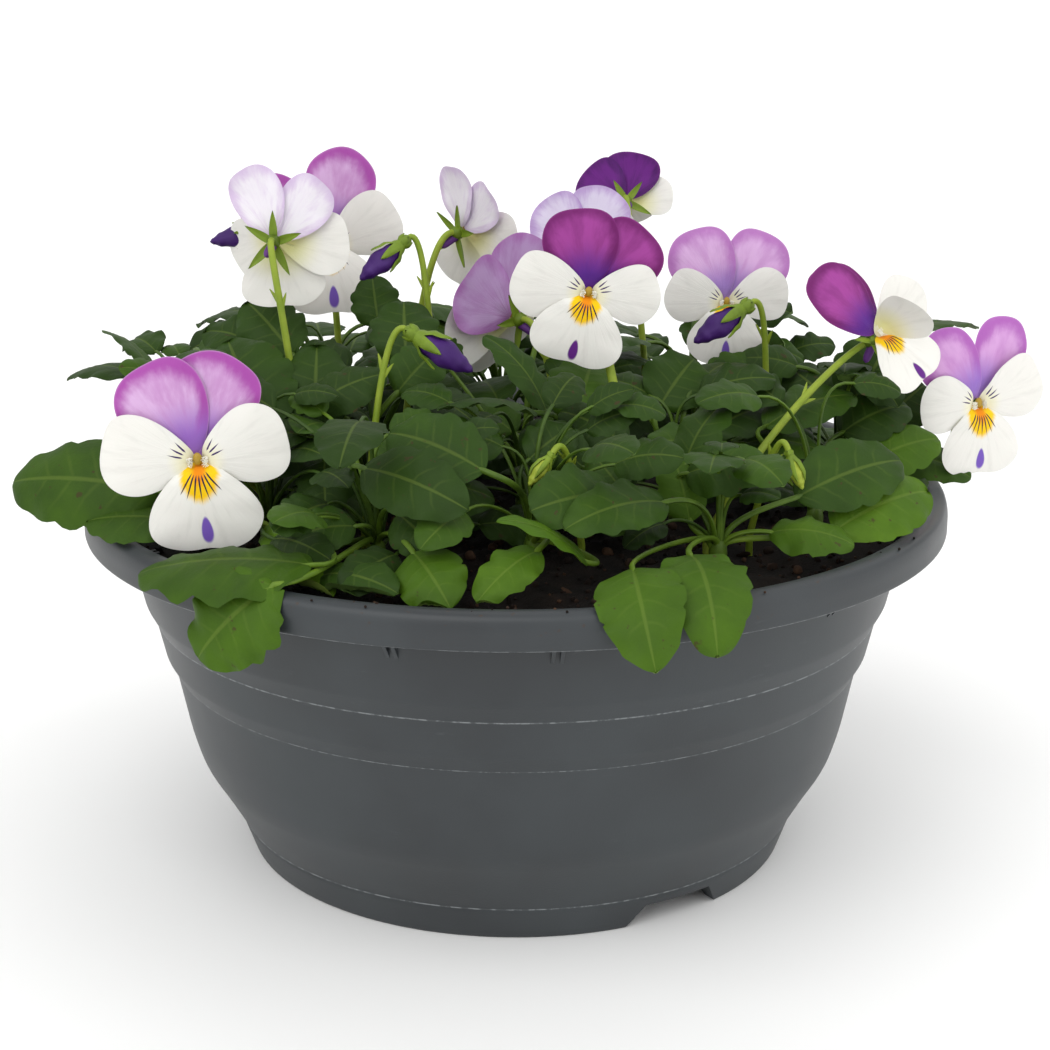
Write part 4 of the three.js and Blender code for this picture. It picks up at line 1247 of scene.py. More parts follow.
DARK_BLOTCH = (2, 10)  # numbers of the blooms, counted from 1
STOUT_STALK = {2: 1.25}
USUAL = {"uppers": (-20, 23), "long": 1.06, "broad": 0.98, "upper twist": 0,
         "sides": (-81, 76), "side size": (1, 1), "side fold": (0, 0),
         "lower": 180, "lower size": 1, "lower fold": 0, "lower twist": 0}
HABITS = {  # what is unusual in a bloom: turns and tilts of its petals in degrees, and sizes
    1: {"uppers": (-25, 15), "long": 1.05, "side size": (1.06, 1.02), "lower": 177},
    2: {"uppers": (-14, 36), "long": 1.04, "broad": 1.02, "sides": (-88, 84),
        "side size": (1.08, 0.98), "lower": 187, "lower size": 1.04},
    3: {"uppers": (-29, 29), "long": 0.96, "broad": 0.74, "sides": (-84, 118),
        "side size": (1.05, 1), "side fold": (0, 32), "lower": 196, "lower size": 0.98},
    4: {"uppers": (-42, 23), "long": 1.14, "broad": 0.88, "lower": 190, "lower fold": 25},
    5: {"uppers": (-26, 24), "long": 0.86, "broad": 0.66, "sides": (-81, 112),
        "side size": (1.15, 0.8), "side fold": (0, 45)},
    6: {"uppers": (-30, 34), "long": 1.02, "broad": 1.05, "side size": (1, 1.1),
        "lower fold": 30},
    7: {"uppers": (-30, 32), "long": 0.8, "broad": 1, "sides": (-100, 76), "side size": (0.85, 0.9),
        "lower fold": 62, "lower size": 0.8},
    8: {"uppers": (-34, 36), "long": 0.82, "broad": 0.9, "side size": (0.85, 0.85)},
    9: {"uppers": (-31, 35), "long": 1.15, "broad": 1.04},
    10: {"uppers": (-9, 10), "long": 1.2, "broad": 0.9, "upper twist": -42, "sides": (-108, 70),
         "side fold": (58, 58), "lower twist": 35},
    11: {"uppers": (-33, 31), "long": 1.12, "broad": 0.86, "side size": (0.94, 1.04), "lower": 184},
}
print("blooms:", len(BLOOMS), "of them with habits of their own:", len(HABITS))

# %% [markdown]
# A bloom has a frame of its own, turned to where it looks, and each petal is laid into that
# frame. Its petals start from the usual measures, and its own habit changes some of them.

# %% A bloom's frame and its petals' measures
def bloom_frame(at, azimuth, height, roll, size):
    """A bloom's own frame: x to its right as a viewer sees it, y up, z out of its face."""
    a, e = math.radians(azimuth), math.radians(height)
    face = Vector((math.sin(a) * math.cos(e), -math.cos(a) * math.cos(e), math.sin(e)))
    upright = (UP - face * face.z).normalized()
    upright = Matrix.Rotation(-math.radians(roll), 3, face) @ upright
    return frame_of(Vector(at), upright, face) @ Matrix.Scale(size, 4)


def habitual(petal, habit, kind, side):
    """The petal's measures with what is unusual in this bloom: side is 0 for left, 1 for right."""
    if kind == "upper":
        turn, fold, twist = habit["uppers"][side], 0, habit["upper twist"]
        long, broad = habit["long"], habit["broad"]
    elif kind == "side":
        turn, fold, twist = habit["sides"][side], habit["side fold"][side], 0
        long = broad = habit["side size"][side]
    else:
        turn, fold, twist = habit["lower"], habit["lower fold"], habit["lower twist"]
        long = broad = habit["lower size"]
    length, width = petal["length"] * long, petal["width"] * broad
    return petal | {"turn": turn, "fold": fold, "twist": twist, "length": length, "width": width}


print("bloom 1 looks along", [round(x, 2) for x in bloom_frame(*BLOOMS[0][:5]).col[2][:3]])

# %% [markdown]
# A petal is a blade of two skins. The hairs beside the throat are too many to place by hand, so
# a seeded draw scatters them. Each is a tube of four sides, as much as so small a thing shows.

# %% Petals and throat
FACE, BACK, LOWER, LOWER_DARK, BEARD, STIGMA = 0, 1, 2, 3, 4, 5
HAIRS = 40  # to each side of the throat


def add_petal(shape, petal, bloom, size, flutter, finishes, mirror):
    """One petal of two skins."""
    face = (bloom.to_3x3() @ Vector((0, 0, 1))).normalized()
    place = petal_place(petal, bloom, flutter, mirror)
    add_blade(shape, PETAL_GRID, PETAL_GRID, place, PETAL_THICK * size, face, finishes)


def add_eye(shape, bloom, size):
    """Two tufts of white hairs beside the throat, and the stigma's triangular lip between."""
    for side in (-1, 1):
        for _ in range(HAIRS):
            root = Vector((side * draw.uniform(1.5, 2.6), draw.uniform(-0.6, 1.6), 1.3))
            tip = root + Vector((-side * draw.uniform(0.1, 0.7), draw.uniform(-0.4, 0.2), 0.9))
            hair = [bloom @ root.lerp(tip, t) for t in (0, 0.5, 1)]
            add_tube(shape, hair, lambda s: 0.13 * size * (1 - 0.4 * s), 4, BEARD)
    lip = Matrix.Translation((0, 1.1, 1.1)) @ Matrix.Diagonal((1.15, 1.6, 0.9, 1))
    points = bmesh.ops.create_icosphere(shape, subdivisions=3, radius=1, matrix=bloom @ lip)["verts"]
    dress(shape, points, STIGMA)


print("hairs to a bloom:", 2 * HAIRS)

# %% [markdown]
# Now the blooms can be grown one after another. The side petals mirror each other's pattern, so
# that the whiskers are on the upper side of both.

# %% The eleven blooms
BLOOM_PETALS = [  # petal, its kind and side, face and back, -1 where its pattern is mirrored
    ("upper left", ("upper", 0), (FACE, BACK), 1),
    ("upper right", ("upper", 1), (FACE, BACK), 1),
    ("side left", ("side", 0), (FACE, BACK), 1),
    ("side right", ("side", 1), (FACE, BACK), -1),
    ("lower", ("lower", 0), (LOWER, BACK), 1),
]
for number, (at, azimuth, height, roll, size, foot, hue) in enumerate(BLOOMS, 1):
    bloom = bloom_frame(at, azimuth, height, roll, size)
    uppers, whites, greens = new_shape(), new_shape(), new_shape()
    flutter = 1.7 * number
    habit = USUAL | HABITS.get(number, {})
    for petal, kind, finishes, mirror in BLOOM_PETALS:
        own = habitual(PETALS[petal], habit, *kind)
        shape = uppers if kind[0] == "upper" else whites
        if petal == "lower" and number in DARK_BLOTCH:
            finishes = (LOWER_DARK, BACK)
        add_petal(shape, own, bloom, size, flutter + own["turn"], finishes, mirror)
    add_eye(whites, bloom, size)
    add_calyx(greens, bloom, size)
    outward = (bloom.to_3x3() @ Vector((0, 0, 1))).normalized()
    joint = bloom @ Vector((0, 0.6, -4.2))
    thick = STALK["radius"] * STOUT_STALK.get(number, 1)
    add_stalk(greens, foot, joint, outward, STALK["hook"], thick, 0.6)
    name = f"bloom_{number}"
    keep(uppers, name + "_uppers", UPPER_SKINS[hue], [name + "_upper_petals"])
    keep(whites, name + "_whites", WHITE_SKINS, [name + "_white_petals"])
    keep(greens, name + "_greens", [stalk_green, spur_violet], [name + "_stalk"])

# %% [markdown]
# ## Buds
# A bud is its five petals rolled up like an umbrella, held in a cup of sepals, and nodding on
# a hooked stalk. The roll shows as folds that wind round it. So the bud is a tube whose radius
# swells and shrinks, with three shallow creases that wind round it. Green buds are younger
# and still shut in their sepals.

# %% Where the buds are, and their furled petals
BUDS = [  # place, the way it points, foot of its stalk, size
    ((-67, 5, 165.5), (-1, -0.1, -0.18), (-63, 2), 0.9),
    ((-29.5, -5, 164), (-0.75, -0.3, -0.6), (-20, -8), 0.95),
    ((59.5, -8, 147.5), (-0.8, -0.25, -0.5), (68, 2), 1.05),
    ((-25, -41, 147.2), (0.85, -0.2, -0.5), (-38, -46), 1.1),
]
GREEN_BUDS = [
    ((8, -70, 123.8), (-0.6, -0.3, -0.75), (16, -58), 0.55),
    ((66, -60, 121.6), (0.35, -0.2, -0.9), (58, -50), 0.58),
]
BUD_LENGTH = 15.5
BUD_RINGS = 34
BUD_BODY = ((0, 0.9), (1.5, 1.5), (4, 3), (8, 3.6), (12, 2.4), (14.5, 1.1), (BUD_LENGTH, 0.3))


def bud_radius(along):
    """Radius of the furled petals at a distance along the bud, by smooth steps."""
    for (a, low), (b, high) in zip(BUD_BODY, BUD_BODY[1:]):
        if along <= b:
            t = (along - a) / (b - a)
            return low + (high - low) * t * t * (3 - 2 * t)
    return BUD_BODY[-1][1]


def add_bud_body(shape, frame, finish, tone):
    """The furled petals: a tube with three shallow creases that wind round it."""

    def place(u, v):
        along = BUD_LENGTH * v
        turn = 2 * math.pi * u
        crease = 1 - 0.09 * abs(math.cos(1.5 * turn + 0.28 * along)) ** 6
        radius = bud_radius(along) * crease * (0 < v < 1)
        spot = Vector((1.04 * radius * math.cos(turn), along, 0.9 * radius * math.sin(turn)))
        return frame @ spot, (3 * u, v), v

    add_grid(shape, 28, BUD_RINGS, place, finish, tone)


print("buds:", len(BUDS), "violet and", len(GREEN_BUDS), "green")

# %% [markdown]
# The cup under a bud is a short swelling of the stalk. Its five sepals lie along the furled
# petals, each a curved strip that follows the bud's own radius, so it never sinks in.

# %% Cup, sepals and stalk of a bud
BUD_SEPALS = (10, 82, 154, 226, 298)  # degrees round the bud
BUD_SEPAL_LOBE = 2.2  # mm, the lobe behind the cup
BUD_CUP = ((-2.6, 0.9), (-2.2, 1.35), (-1.2, 1.85), (0, 1.9), (1.2, 1.2))  # along, radius
BUD_HOOK = 7


def add_bud_sepal(shape, frame, turn, reach):
    """A sepal that lies along the bud as far as reach mm, its tip a little off it."""
    angle = math.radians(turn)
    out = Vector((math.cos(angle), 0, math.sin(angle)))
    side = Vector((-math.sin(angle), 0, math.cos(angle)))

    def place(u, v):
        a = 2 * u - 1
        along = -BUD_SEPAL_LOBE + (reach + BUD_SEPAL_LOBE) * v
        radius = (bud_radius(max(along, 0)) if along > 0 else 1.5) + 0.45 + 1.1 * max(0, v - 0.75)
        wide = 1.35 * math.sin(math.pi * min(1, 0.16 + 0.84 * v)) ** 0.7 * (0 < v < 1)
        spot = out * (radius - 0.35 * a * a) + side * (a * wide) + Vector((0, along, 0))
        return frame @ spot, (u, v), max(abs(a), abs(2 * v - 1))

    face = (frame.to_3x3() @ out).normalized()
    add_blade(shape, 6, 12, place, 0.4, face, (GREEN, GREEN), 0.4)


def add_bud_greens(shape, frame, foot, size, reach):
    """The cup that holds a bud, its sepals and its hooked stalk."""
    cup = [frame @ Vector((0, along, 0)) for along, _ in BUD_CUP]
    add_tube(shape, cup, lambda s: size * BUD_CUP[round(4 * s)][1], 12, GREEN, 0.35)
    for turn in BUD_SEPALS:
        add_bud_sepal(shape, frame, turn, reach)
    outward = (frame.to_3x3() @ Vector((0, 1, 0))).normalized()
    end = frame @ Vector((0, -1.6, 0))
    add_stalk(shape, foot, end, outward, BUD_HOOK, STALK["radius"] * 0.9, 0.55)


print("sepals to a bud:", len(BUD_SEPALS))

# %% [markdown]
# A violet bud is two pieces, since petals and cup part as it opens. A green bud is one piece:
# its petals are still shut in, and its longer sepals reach nearly to the tip.

# %% The six buds
for number, (at, point, foot, size) in enumerate(BUDS, 1):
    frame_here = frame_of(Vector(at), Vector(point), UP) @ Matrix.Scale(size, 4)
    furled, greens = new_shape(), new_shape()
    add_bud_body(furled, frame_here, 0, 0.5)
    add_bud_greens(greens, frame_here, foot, size, 8)
    name = f"bud_{number}"
    keep(furled, name + "_furled", [furled_violet], [name + "_furled_petals"])
    keep(greens, name + "_greens", [stalk_green], [name + "_stalk"])
for number, (at, point, foot, size) in enumerate(GREEN_BUDS, 1):
    frame_here = frame_of(Vector(at), Vector(point), UP) @ Matrix.Scale(size, 4)
    greens = new_shape()
    add_bud_body(greens, frame_here, GREEN, 0.75)
    add_bud_greens(greens, frame_here, foot, size, 12)
    keep(greens, f"young_bud_{number}", [stalk_green], [f"green_bud_{number}"])

# %% [markdown]
# ## Leaves
# A horned violet's leaf is oval, with four or five broad shallow teeth to each side. It sits
# on a petiole as thin as its stalk, and the petioles of one shoot leave the ground together.
# Leaf material has a thin cuticle over green tissue, so it is softly glossy above and matt and
# paler below. Young leaves are yellower. Veins are pale and sit in furrows.

# %% Veins
VEIN_STEP = 0.17  # how far apart the side veins leave the midrib, as a share of the length


def veins(tree):
    """Midrib and curved side veins as one mask, from the leaf's own coordinates."""
    mark = add(tree, "UVMap", {"uv_map": PATTERN}, {})
    parts = add(tree, "SeparateXYZ", {}, {"Vector": mark}).node
    across = add(tree, "Math", TIMES_PLUS, [parts.outputs["X"], 2, -1])
    across = add(tree, "Math", UNSIGNED, [across])
    along = parts.outputs["Y"]
    midrib = add(tree, "MapRange", SMOOTH, [across, 0.02, 0.07, 1, 0])
    wobble = add(tree, "TexNoise", {}, {"Vector": mark, "Scale": 5, "Detail": 1})
    bent = add(tree, "Math", TIMES_PLUS, [across, -0.17, along])
    bent = add(tree, "Math", TIMES_PLUS, [wobble, 0.05, bent])
    bent = add(tree, "Math", PLUS, [bent, 1])
    off = add(tree, "Math", {"operation": "PINGPONG"}, [bent, VEIN_STEP / 2])
    side = add(tree, "MapRange", SMOOTH, [off, 0.002, 0.02, 1, 0])
    for limits in ([across, 0.3, 0.95, 0.32, 0], [along, 0.7, 0.85, 1, 0]):
        share = add(tree, "MapRange", SMOOTH, limits)
        side = add(tree, "Math", TIMES, [side, share])
    return add(tree, "Math", {"operation": "MAXIMUM"}, [midrib, side])


print("side veins to a half:", int(1 / VEIN_STEP))

# %% [markdown]
# One recipe makes both sides of a blade. Its green runs from dark to yellow with the leaf's own
# tone and with soft patches about a centimetre wide, the veins are laid over it, and specks of
# dried soil over both. The veins lie in furrows and the cells between them are bumpy.

# %% Leaf surfaces
LEAF_DARK = [(0.0, "#1c2f0a"), (0.3, "#2b440f"), (0.55, "#41600f"), (0.8, "#5e8016"), (1, "#84a028")]
LEAF_PALE = [(0.0, "#46602c"), (0.4, "#5c7834"), (0.8, "#82983e"), (1, "#9aab4c")]
PETIOLE, UPPER, UNDER = 0, 1, 2  # finishes of a leafy shoot, in their order on the piece


def leaf_skin(name, stops, rough, vein_code, vein_share, specular):
    """One side of the blades: green stops, and veins in the hex colour."""
    skin, tree, surface = new_finish(name, rough, IOR=1.43, Specular_IOR_Level=specular)
    ribs = veins(tree)
    where = add(tree, "TexCoord", {}, {}, "Object")
    patches = add(tree, "TexNoise", {}, {"Vector": where, "Scale": per_mm(11), "Detail": 4})
    tone = add(tree, "Attribute", {"attribute_name": "tone"}, {}, "Fac")
    shade = add(tree, "Math", TIMES_PLUS, [patches, 0.34, tone])
    shade = add(tree, "Math", MINUS, [shade, 0.17])
    green = with_stops(add(tree, "ValToRGB", {}, {"Fac": shade}), stops)
    share = add(tree, "Math", TIMES, [ribs, vein_share])
    veined = add(tree, "Mix", COLOUR_MIX, {0: share, 6: green, 7: srgb(vein_code)}, 2)
    dust = add(tree, "TexNoise", {}, {"Vector": where, "Scale": per_mm(2.6), "Detail": 3})
    speck = add(tree, "MapRange", SMOOTH, [dust, 0.68, 0.73, 0, 0.7])
    dusty = add(tree, "Mix", COLOUR_MIX, {0: speck, 6: veined, 7: srgb("#3d2f1a")}, 2)
    tree.links.new(dusty, surface.inputs["Base Color"])
    cells = add(tree, "TexNoise", {}, {"Vector": where, "Scale": per_mm(1.1), "Detail": 3})
    height = add(tree, "Math", TIMES_PLUS, [ribs, -0.6, cells])
    bump = add(tree, "Bump", {}, {"Strength": 0.6, "Distance": 0.16 * MM, "Height": height})
    tree.links.new(bump, surface.inputs["Normal"])
    return skin


leaf_upper = leaf_skin("leaf, upper side with cuticle", LEAF_DARK, 0.55, "#7f9440", 0.2, 0.2)
leaf_under = leaf_skin("leaf, matt underside", LEAF_PALE, 0.68, "#9fb077", 0.45, 0.3)
petiole_green = fresh_green(
    "leaf petiole", [(0.05, "#30480f"), (0.4, "#5d7a1e"), (0.9, "#98aa3c")], 0.5
)
LEAF_SKINS = [petiole_green, leaf_upper, leaf_under]
print("leaf skins:", len(LEAF_SKINS))

# %% [markdown]
# Where a leaf would grow into its neighbour it gives way: it is lifted, swung about its shoot
# or kept smaller. The imported model settled each leaf by the first of these steps that was
# free. Its settled corners tell which step that was, so each leaf here is laid out with every
# step in turn, and the one whose corners are all found in the imported mesh is the one to build.

# %% Shoots and the listed leaves
CROWNS = {
    "a": (-62, -44), "b": (-34, -62), "c": (4, -60), "d": (49, -63), "e": (76, -36),
    "f": (-84, -12), "g": (-38, -22), "h": (2, -20), "i": (42, -22), "j": (88, 4),
    "k": (-54, 36), "l": (-4, 42), "m": (50, 44),
}
LEAVES = [  # shoot, start of the blade, its tip, its width, the way its face looks
    ("a", (-88, -50, 110), (-128, -34, 108), 24, (-2, -8, 6)),
    ("a", (-80, -64, 106), (-103, -60, 103), 15, (0, -5, 8)),
    ("a", (-55, -68, 101), (-86, -82, 103), 19, (0, -7, 7)),
    ("b", (-50, -79, 103), (-74, -99, 89), 19, (-3, -8, 5)),
    ("d", (24, -92, 106), (28, -122, 87), 20, (-1, -8, 6)),
    ("d", (43, -86, 107), (45, -114, 90), 21, (1, -8, 6)),
    ("d", (68, -60, 111), (96, -44, 116), 19, (1, -7, 7)),
    ("d", (77, -62, 103), (103, -44, 108), 19, (2, -6, 8)),
    ("d", (61, -66, 104), (81, -70, 102), 15, (0, -4, 9)),
    ("c", (-6, -77, 122), (-30, -66, 128), 19, (0, -7, 7)),
    ("b", (-36, -73, 122), (-11, -88, 116), 17, (-2, -7, 7)),
    ("c", (24, -73, 119), (4, -86, 118), 19, (0, -8, 6)),
    ("d", (35, -78, 113), (11, -90, 110), 16, (0, -5, 8)),
    ("c", (22, -84, 105), (-3, -92, 119), 11, (0, -1, 9)),
    ("d", (41, -60, 117), (60, -70, 121), 15, (0, -7, 7)),
    ("d", (41, -56, 118), (52, -46, 132), 14, (-6, -6, 3)),
    ("c", (5, -87, 106), (-9, -101, 98), 12, (-2, -7, 6)),
    ("b", (-24, -85, 105), (-15, -99, 96), 17, (0, -7, 7)),
    ("b", (-50, -82, 100), (-33, -95, 98), 13, (0, -4, 8)),
    ("g", (-48, -42, 126), (-29, -34, 134), 15, (0, -7, 7)),
    ("f", (-96, -6, 130), (-110, 4, 139), 13, (-3, 5, 8)),
    ("a", (-63, -40, 122), (-74, -18, 141), 25, (0, -8, 6)),
    ("f", (-67, -4, 136), (-83, 4, 139), 14, (0, -5, 8)),
    ("g", (-57, -6, 135), (-69, 6, 147), 18, (0, -8, 5)),
    ("g", (-51, -36, 124), (-51, -20, 142), 19, (1, -8, 5)),
    ("j", (102, -14, 110), (128, -10, 97), 17, (0, -7, 7)),
    ("j", (89, -2, 120), (101, 6, 137), 20, (0, -9, 3)),
    ("e", (90, -22, 109), (111, -14, 114), 16, (0, -7, 7)),
    ("e", (85, -16, 116), (104, -6, 121), 16, (0, -6, 8)),
    ("i", (49, -28, 119), (72, -14, 123), 15, (0, -5, 8)),
    ("e", (63, -30, 119), (88, -16, 124), 15, (0, -5, 8)),
    ("i", (60, -8, 121), (46, 4, 128), 18, (0, -7, 7)),
    ("h", (22, -34, 126), (27, -18, 136), 22, (0, -8, 6)),
    ("i", (37, -20, 124), (47, -7, 134), 18, (0, -8, 6)),
    ("h", (5, -47, 129), (-19, -56, 132), 14, (0, 1, 9)),
    ("h", (8, -36, 126), (-8, -26, 144), 10, (7, -6, 3)),
    ("g", (-28, -24, 137), (-29, -11, 150), 18, (0, -9, 3)),
    ("g", (-36, -5, 142), (-38, 3, 154), 13, (0, -9, 3)),
    ("g", (-30, -34, 131), (-19, -26, 141), 14, (0, -8, 5)),
    ("b", (-47, -51, 118), (-46, -63, 108), 14, (0, -9, 4)),
    ("a", (-53, -63, 104), (-35, -75, 101), 14, (0, -7, 7)),
    ("b", (-28, -74, 111), (-18, -84, 104), 13, (0, -8, 6)),
    ("c", (17, -56, 120), (2, -44, 128), 15, (0, -8, 6)),
    ("i", (27, -48, 121), (11, -37, 127), 14, (0, -7, 7)),
    ("c", (26, -60, 116), (15, -50, 124), 14, (0, -8, 6)),
    ("a", (-60, -59, 107), (-46, -70, 105), 14, (0, -7, 7)),
    ("d", (42, -64, 106), (38, -52, 121), 12, (0, -8, 6)),
]
print("leaves set by hand:", len(LEAVES), "on", len(CROWNS), "shoots")

# %% [markdown]
# The leaves that fill the back and the sides follow the golden angle: each one grows 137.5
# degrees round the shoot from the last, as on most plants, so it stands over the widest gap.

# %% Leaves by the golden angle, and the steps by which a leaf gives way
SPREAD = [  # shoot, number of leaves, direction of the first in degrees
    ("f", 2, 150), ("k", 5, 95), ("l", 5, 60), ("m", 5, 20), ("j", 2, 30), ("h", 1, 80), ("i", 1, 50),
]
SPREAD_SEED = 4127
GOLDEN_ANGLE = 137.5
NECK = 100.6  # height at which petioles part from a shoot
NODE_STEP = 0.43  # mm of the shoot between one petiole and the next
STEPS = [  # lift in mm, swing in degrees, size
    (0, 0, 1), (2, 0, 1), (-2, 0, 1), (0, 5, 1), (0, -5, 1), (3.5, 0, 0.95), (-3, 4, 0.95),
    (-3, -4, 0.95), (3, 8, 0.92), (3, -8, 0.92), (5, 0, 0.9), (0, 0, 0.85), (6, 6, 0.85),
    (6, -6, 0.85), (-2, 12, 0.8), (-2, -12, 0.8), (8, 0, 0.8), (2, 0, 0.72), (9, 10, 0.72),
    (9, -10, 0.72),
]


def steady_draws(seed):
    """Numbers between 0 and 1 that any language draws alike."""
    state = seed
    while True:
        state = state * 16807 % 2147483647
        yield state / 2147483647


def golden_leaf(shoot, turn, draws):
    """A leaf that leans out from its shoot in the direction turn."""
    reach, rise, length = 10 + 14 * next(draws), 18 + 22 * next(draws), 19 + 9 * next(draws)
    out = Vector((math.cos(turn), math.sin(turn), 0))
    base = Vector((*CROWNS[shoot], NECK + rise)) + out * reach
    tip = base + out * length + UP * (2 - 8 * next(draws))
    return (shoot, base, tip, length * 0.66, (3 * out.x, 3 * out.y, 8))


draws = steady_draws(SPREAD_SEED)
for shoot, count, first in SPREAD:
    for i in range(count):
        turn = math.radians(first + i * GOLDEN_ANGLE + 20 * (next(draws) - 0.5))
        LEAVES.append(golden_leaf(shoot, turn, draws))
print("leaves:", len(LEAVES))

# %% [markdown]
# Laying a leaf out gives it a frame: its start, the way to its tip and the way its face looks,
# after it has been lifted, swung and shrunk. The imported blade's corners follow from that frame.

# %% Laying out a leaf
LONG_LEAF = 25  # mm, from here on a leaf has one more tooth
ARCH = 0.12
LEAF_HALF_THICK = 0.4


def outline(s):
    """Half-width of a blade at the share s of its length, as a share of its greatest."""
    return math.sin(math.pi * min(max(s, 0), 1) ** 0.85) ** 0.6 if 0 < s < 1 else 0


def lay_out(leaf, level, lift, swing, size):
    """The place of a leaf, whose petiole leaves its shoot at this level from the top."""
    shoot, base, tip, width, face = leaf
    centre = Vector((*CROWNS[shoot], 0))
    swung = Matrix.Rotation(math.radians(swing), 3, "Z")
    start = swung @ (Vector(base) - centre) + centre + UP * lift
    end = swung @ (Vector(tip) - centre) + centre + UP * lift
    length = (end - start).length * size
    frame_here = frame_of(start, end - start, swung @ Vector(face))
    return {"shoot": shoot, "level": level, "start": start, "length": length,
            "width": width * size, "frame": frame_here, "arch": ARCH,
            "teeth": 4 if length > LONG_LEAF else 3}


def blade_corners(place):
    """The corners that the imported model's simpler blade has."""
    rows = 2 * place["teeth"]
    corners = []
    for j in range(1, rows + 1):
        s = j / rows
        tooth = 1.07 if j % 2 else 0.93
        reach = place["width"] / 2 * outline(s) * tooth
        middle = Vector((0, place["length"] * s, ARCH * place["length"] * 4 * s * (1 - s)))
        for side in ((-1, 1) if j < rows else (0,)):
            for half in (-LEAF_HALF_THICK, LEAF_HALF_THICK):
                corners.append(place["frame"] @ (middle + Vector((side * reach, 0, half))))
    return corners


print("arch of a blade:", ARCH, "of its length")

# %% [markdown]
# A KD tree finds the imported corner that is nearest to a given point. A leaf counts as found
# where most of its corners have a packed one within a twelfth of a millimetre. One that isn't
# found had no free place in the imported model, and is left out here too.

# %% Finding each leaf's settled place
CORNER_NEAR = 0.08  # mm
ENOUGH_CORNERS = 0.6


def corner_tree(node):
    """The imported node's corners in bowl millimetres, for quick finding."""
    into_mm = INTO_FRAME.inverted() @ frame["nodes"][node].matrix_world
    points = frame["nodes"][node].data.vertices
    tree = KDTree(len(points))
    for i, point in enumerate(points):
        tree.insert(into_mm @ point.co, i)
    tree.balance()
    return tree


settled = []
missing = []
levels = dict.fromkeys(CROWNS, 0)
trees = {shoot: corner_tree(f"leafy_stem_{shoot}") for shoot in CROWNS}
for leaf in LEAVES:
    shoot = leaf[0]
    best, place_best = 0, None
    for step in STEPS:
        place = lay_out(leaf, levels[shoot], *step)
        corners = blade_corners(place)
        found = sum(trees[shoot].find(corner)[2] < CORNER_NEAR for corner in corners)
        if found / len(corners) > best:
            best, place_best = found / len(corners), place
    if best > ENOUGH_CORNERS:
        settled.append(place_best)
    else:
        missing.append((leaf, best))
    levels[shoot] += 1
print("settled:", len(settled), "missing:", len(missing), [round(m[1], 2) for m in missing])

# %% [markdown]
# A blade is a sheet of two skins. Its margin swells at each tooth and is drawn in between
# them. Over its length it arches, from midrib to margin it is domed, and between the side
# veins the tissue puffs up a little. The petiole runs on under the blade as its midrib.

# %% A blade and its petiole
BLADE_GRID = (14, 32)
PETIOLE_RADIUS = 0.95
RIM_OUTSIDE = 115.9  # mm, radius at which a hanging leaf clears the rim
PUFF_STEP = 0.17  # the tissue's puffs come as often as the side veins


def blade_point(place, habit, u, v):
    """A point of the blade in its own frame."""
    a = 2 * u - 1
    length, width = place["length"], place["width"]
    teeth = place["teeth"]
    bump = abs(math.sin(math.pi * (teeth + 1) * v)) ** 0.5
    tooth = 0.92 + 0.13 * bump
    reach = width / 2 * outline(v) ** (1 - 0.22 * v) * tooth
    reach = max(reach, PETIOLE_RADIUS * 0.8 * max(0, 1 - 3 * v))
    dome = -0.1 * width * a * a * outline(v) * habit["dome"]
    between = math.cos(2 * math.pi * (v - 0.17 * abs(a)) / PUFF_STEP)
    puff = 0.011 * width * (1 - a * a) * abs(a) ** 0.5 * between
    groove = -0.35 * math.exp(-((a * reach / 0.7) ** 2))
    ripple = math.sin(2 * math.pi * teeth * v + habit["phase"])
    edge = habit["wave"] * width * 0.05 * abs(a) ** 3 * ripple
    roll = habit["roll"] * a * reach * v
    arch = place["arch"] * length * 4 * v * (1 - v)
    return Vector((a * reach, length * v, arch + dome + puff + groove + edge + roll))


def petiole_path(place):
    """Up from the shoot and over into the start of the blade."""
    along = (place["frame"].to_3x3() @ Vector((0, 1, 0))).normalized()
    start = place["start"]
    root = Vector((*CROWNS[place["shoot"]], NECK - NODE_STEP * place["level"]))
    out = Vector((start.x - root.x, start.y - root.y, 0)).normalized()
    root += out * 1.1
    span = (start - root).length
    rise = root + UP * max(4, (start.z - root.z) * (0.35 if "filler" in place else 0.6))
    arrive = start - along * (0.35 * span)
    arrive.z = max(arrive.z, NECK)
    if "tone" in place:
        arrive.z = min(arrive.z, start.z)
    return bezier([root, rise, arrive, start], 14)


print("blade grid:", BLADE_GRID)

# %% [markdown]
# A leaf that sags can't pass through the rim or the soil. Each of its points that would be
# inside them is moved out by the shorter way, up or outward, as if the leaf had been draped.

# %% Draping and building a leaf
CLEAR = {"over the soil": 1.2, "over the rim": 1.1}  # mm, room under a draped leaf's middle
RIM_CLIMB = (98, 104)  # radii between which the ground rises from soil to rim


def draped(spot):
    """Moves a point that would be inside the rim or the compost onto it, the shorter way."""
    radius = math.hypot(spot.x, spot.y)
    if radius >= RIM_OUTSIDE:
        return spot
    earth = soil_height(spot.x, spot.y) + CLEAR["over the soil"]
    climb = min(max((radius - RIM_CLIMB[0]) / (RIM_CLIMB[1] - RIM_CLIMB[0]), 0), 1)
    least = earth + (RIM_TOP + CLEAR["over the rim"] - earth) * climb * climb * (3 - 2 * climb)
    least -= 0.16 * max(0, radius - 112) ** 2
    if RIM_OUTSIDE - radius < least - spot.z:
        return Vector((spot.x * RIM_OUTSIDE / radius, spot.y * RIM_OUTSIDE / radius, spot.z))
    return Vector((spot.x, spot.y, max(spot.z, least)))


print("hanging leaves clear the rim at", RIM_OUTSIDE, "mm")

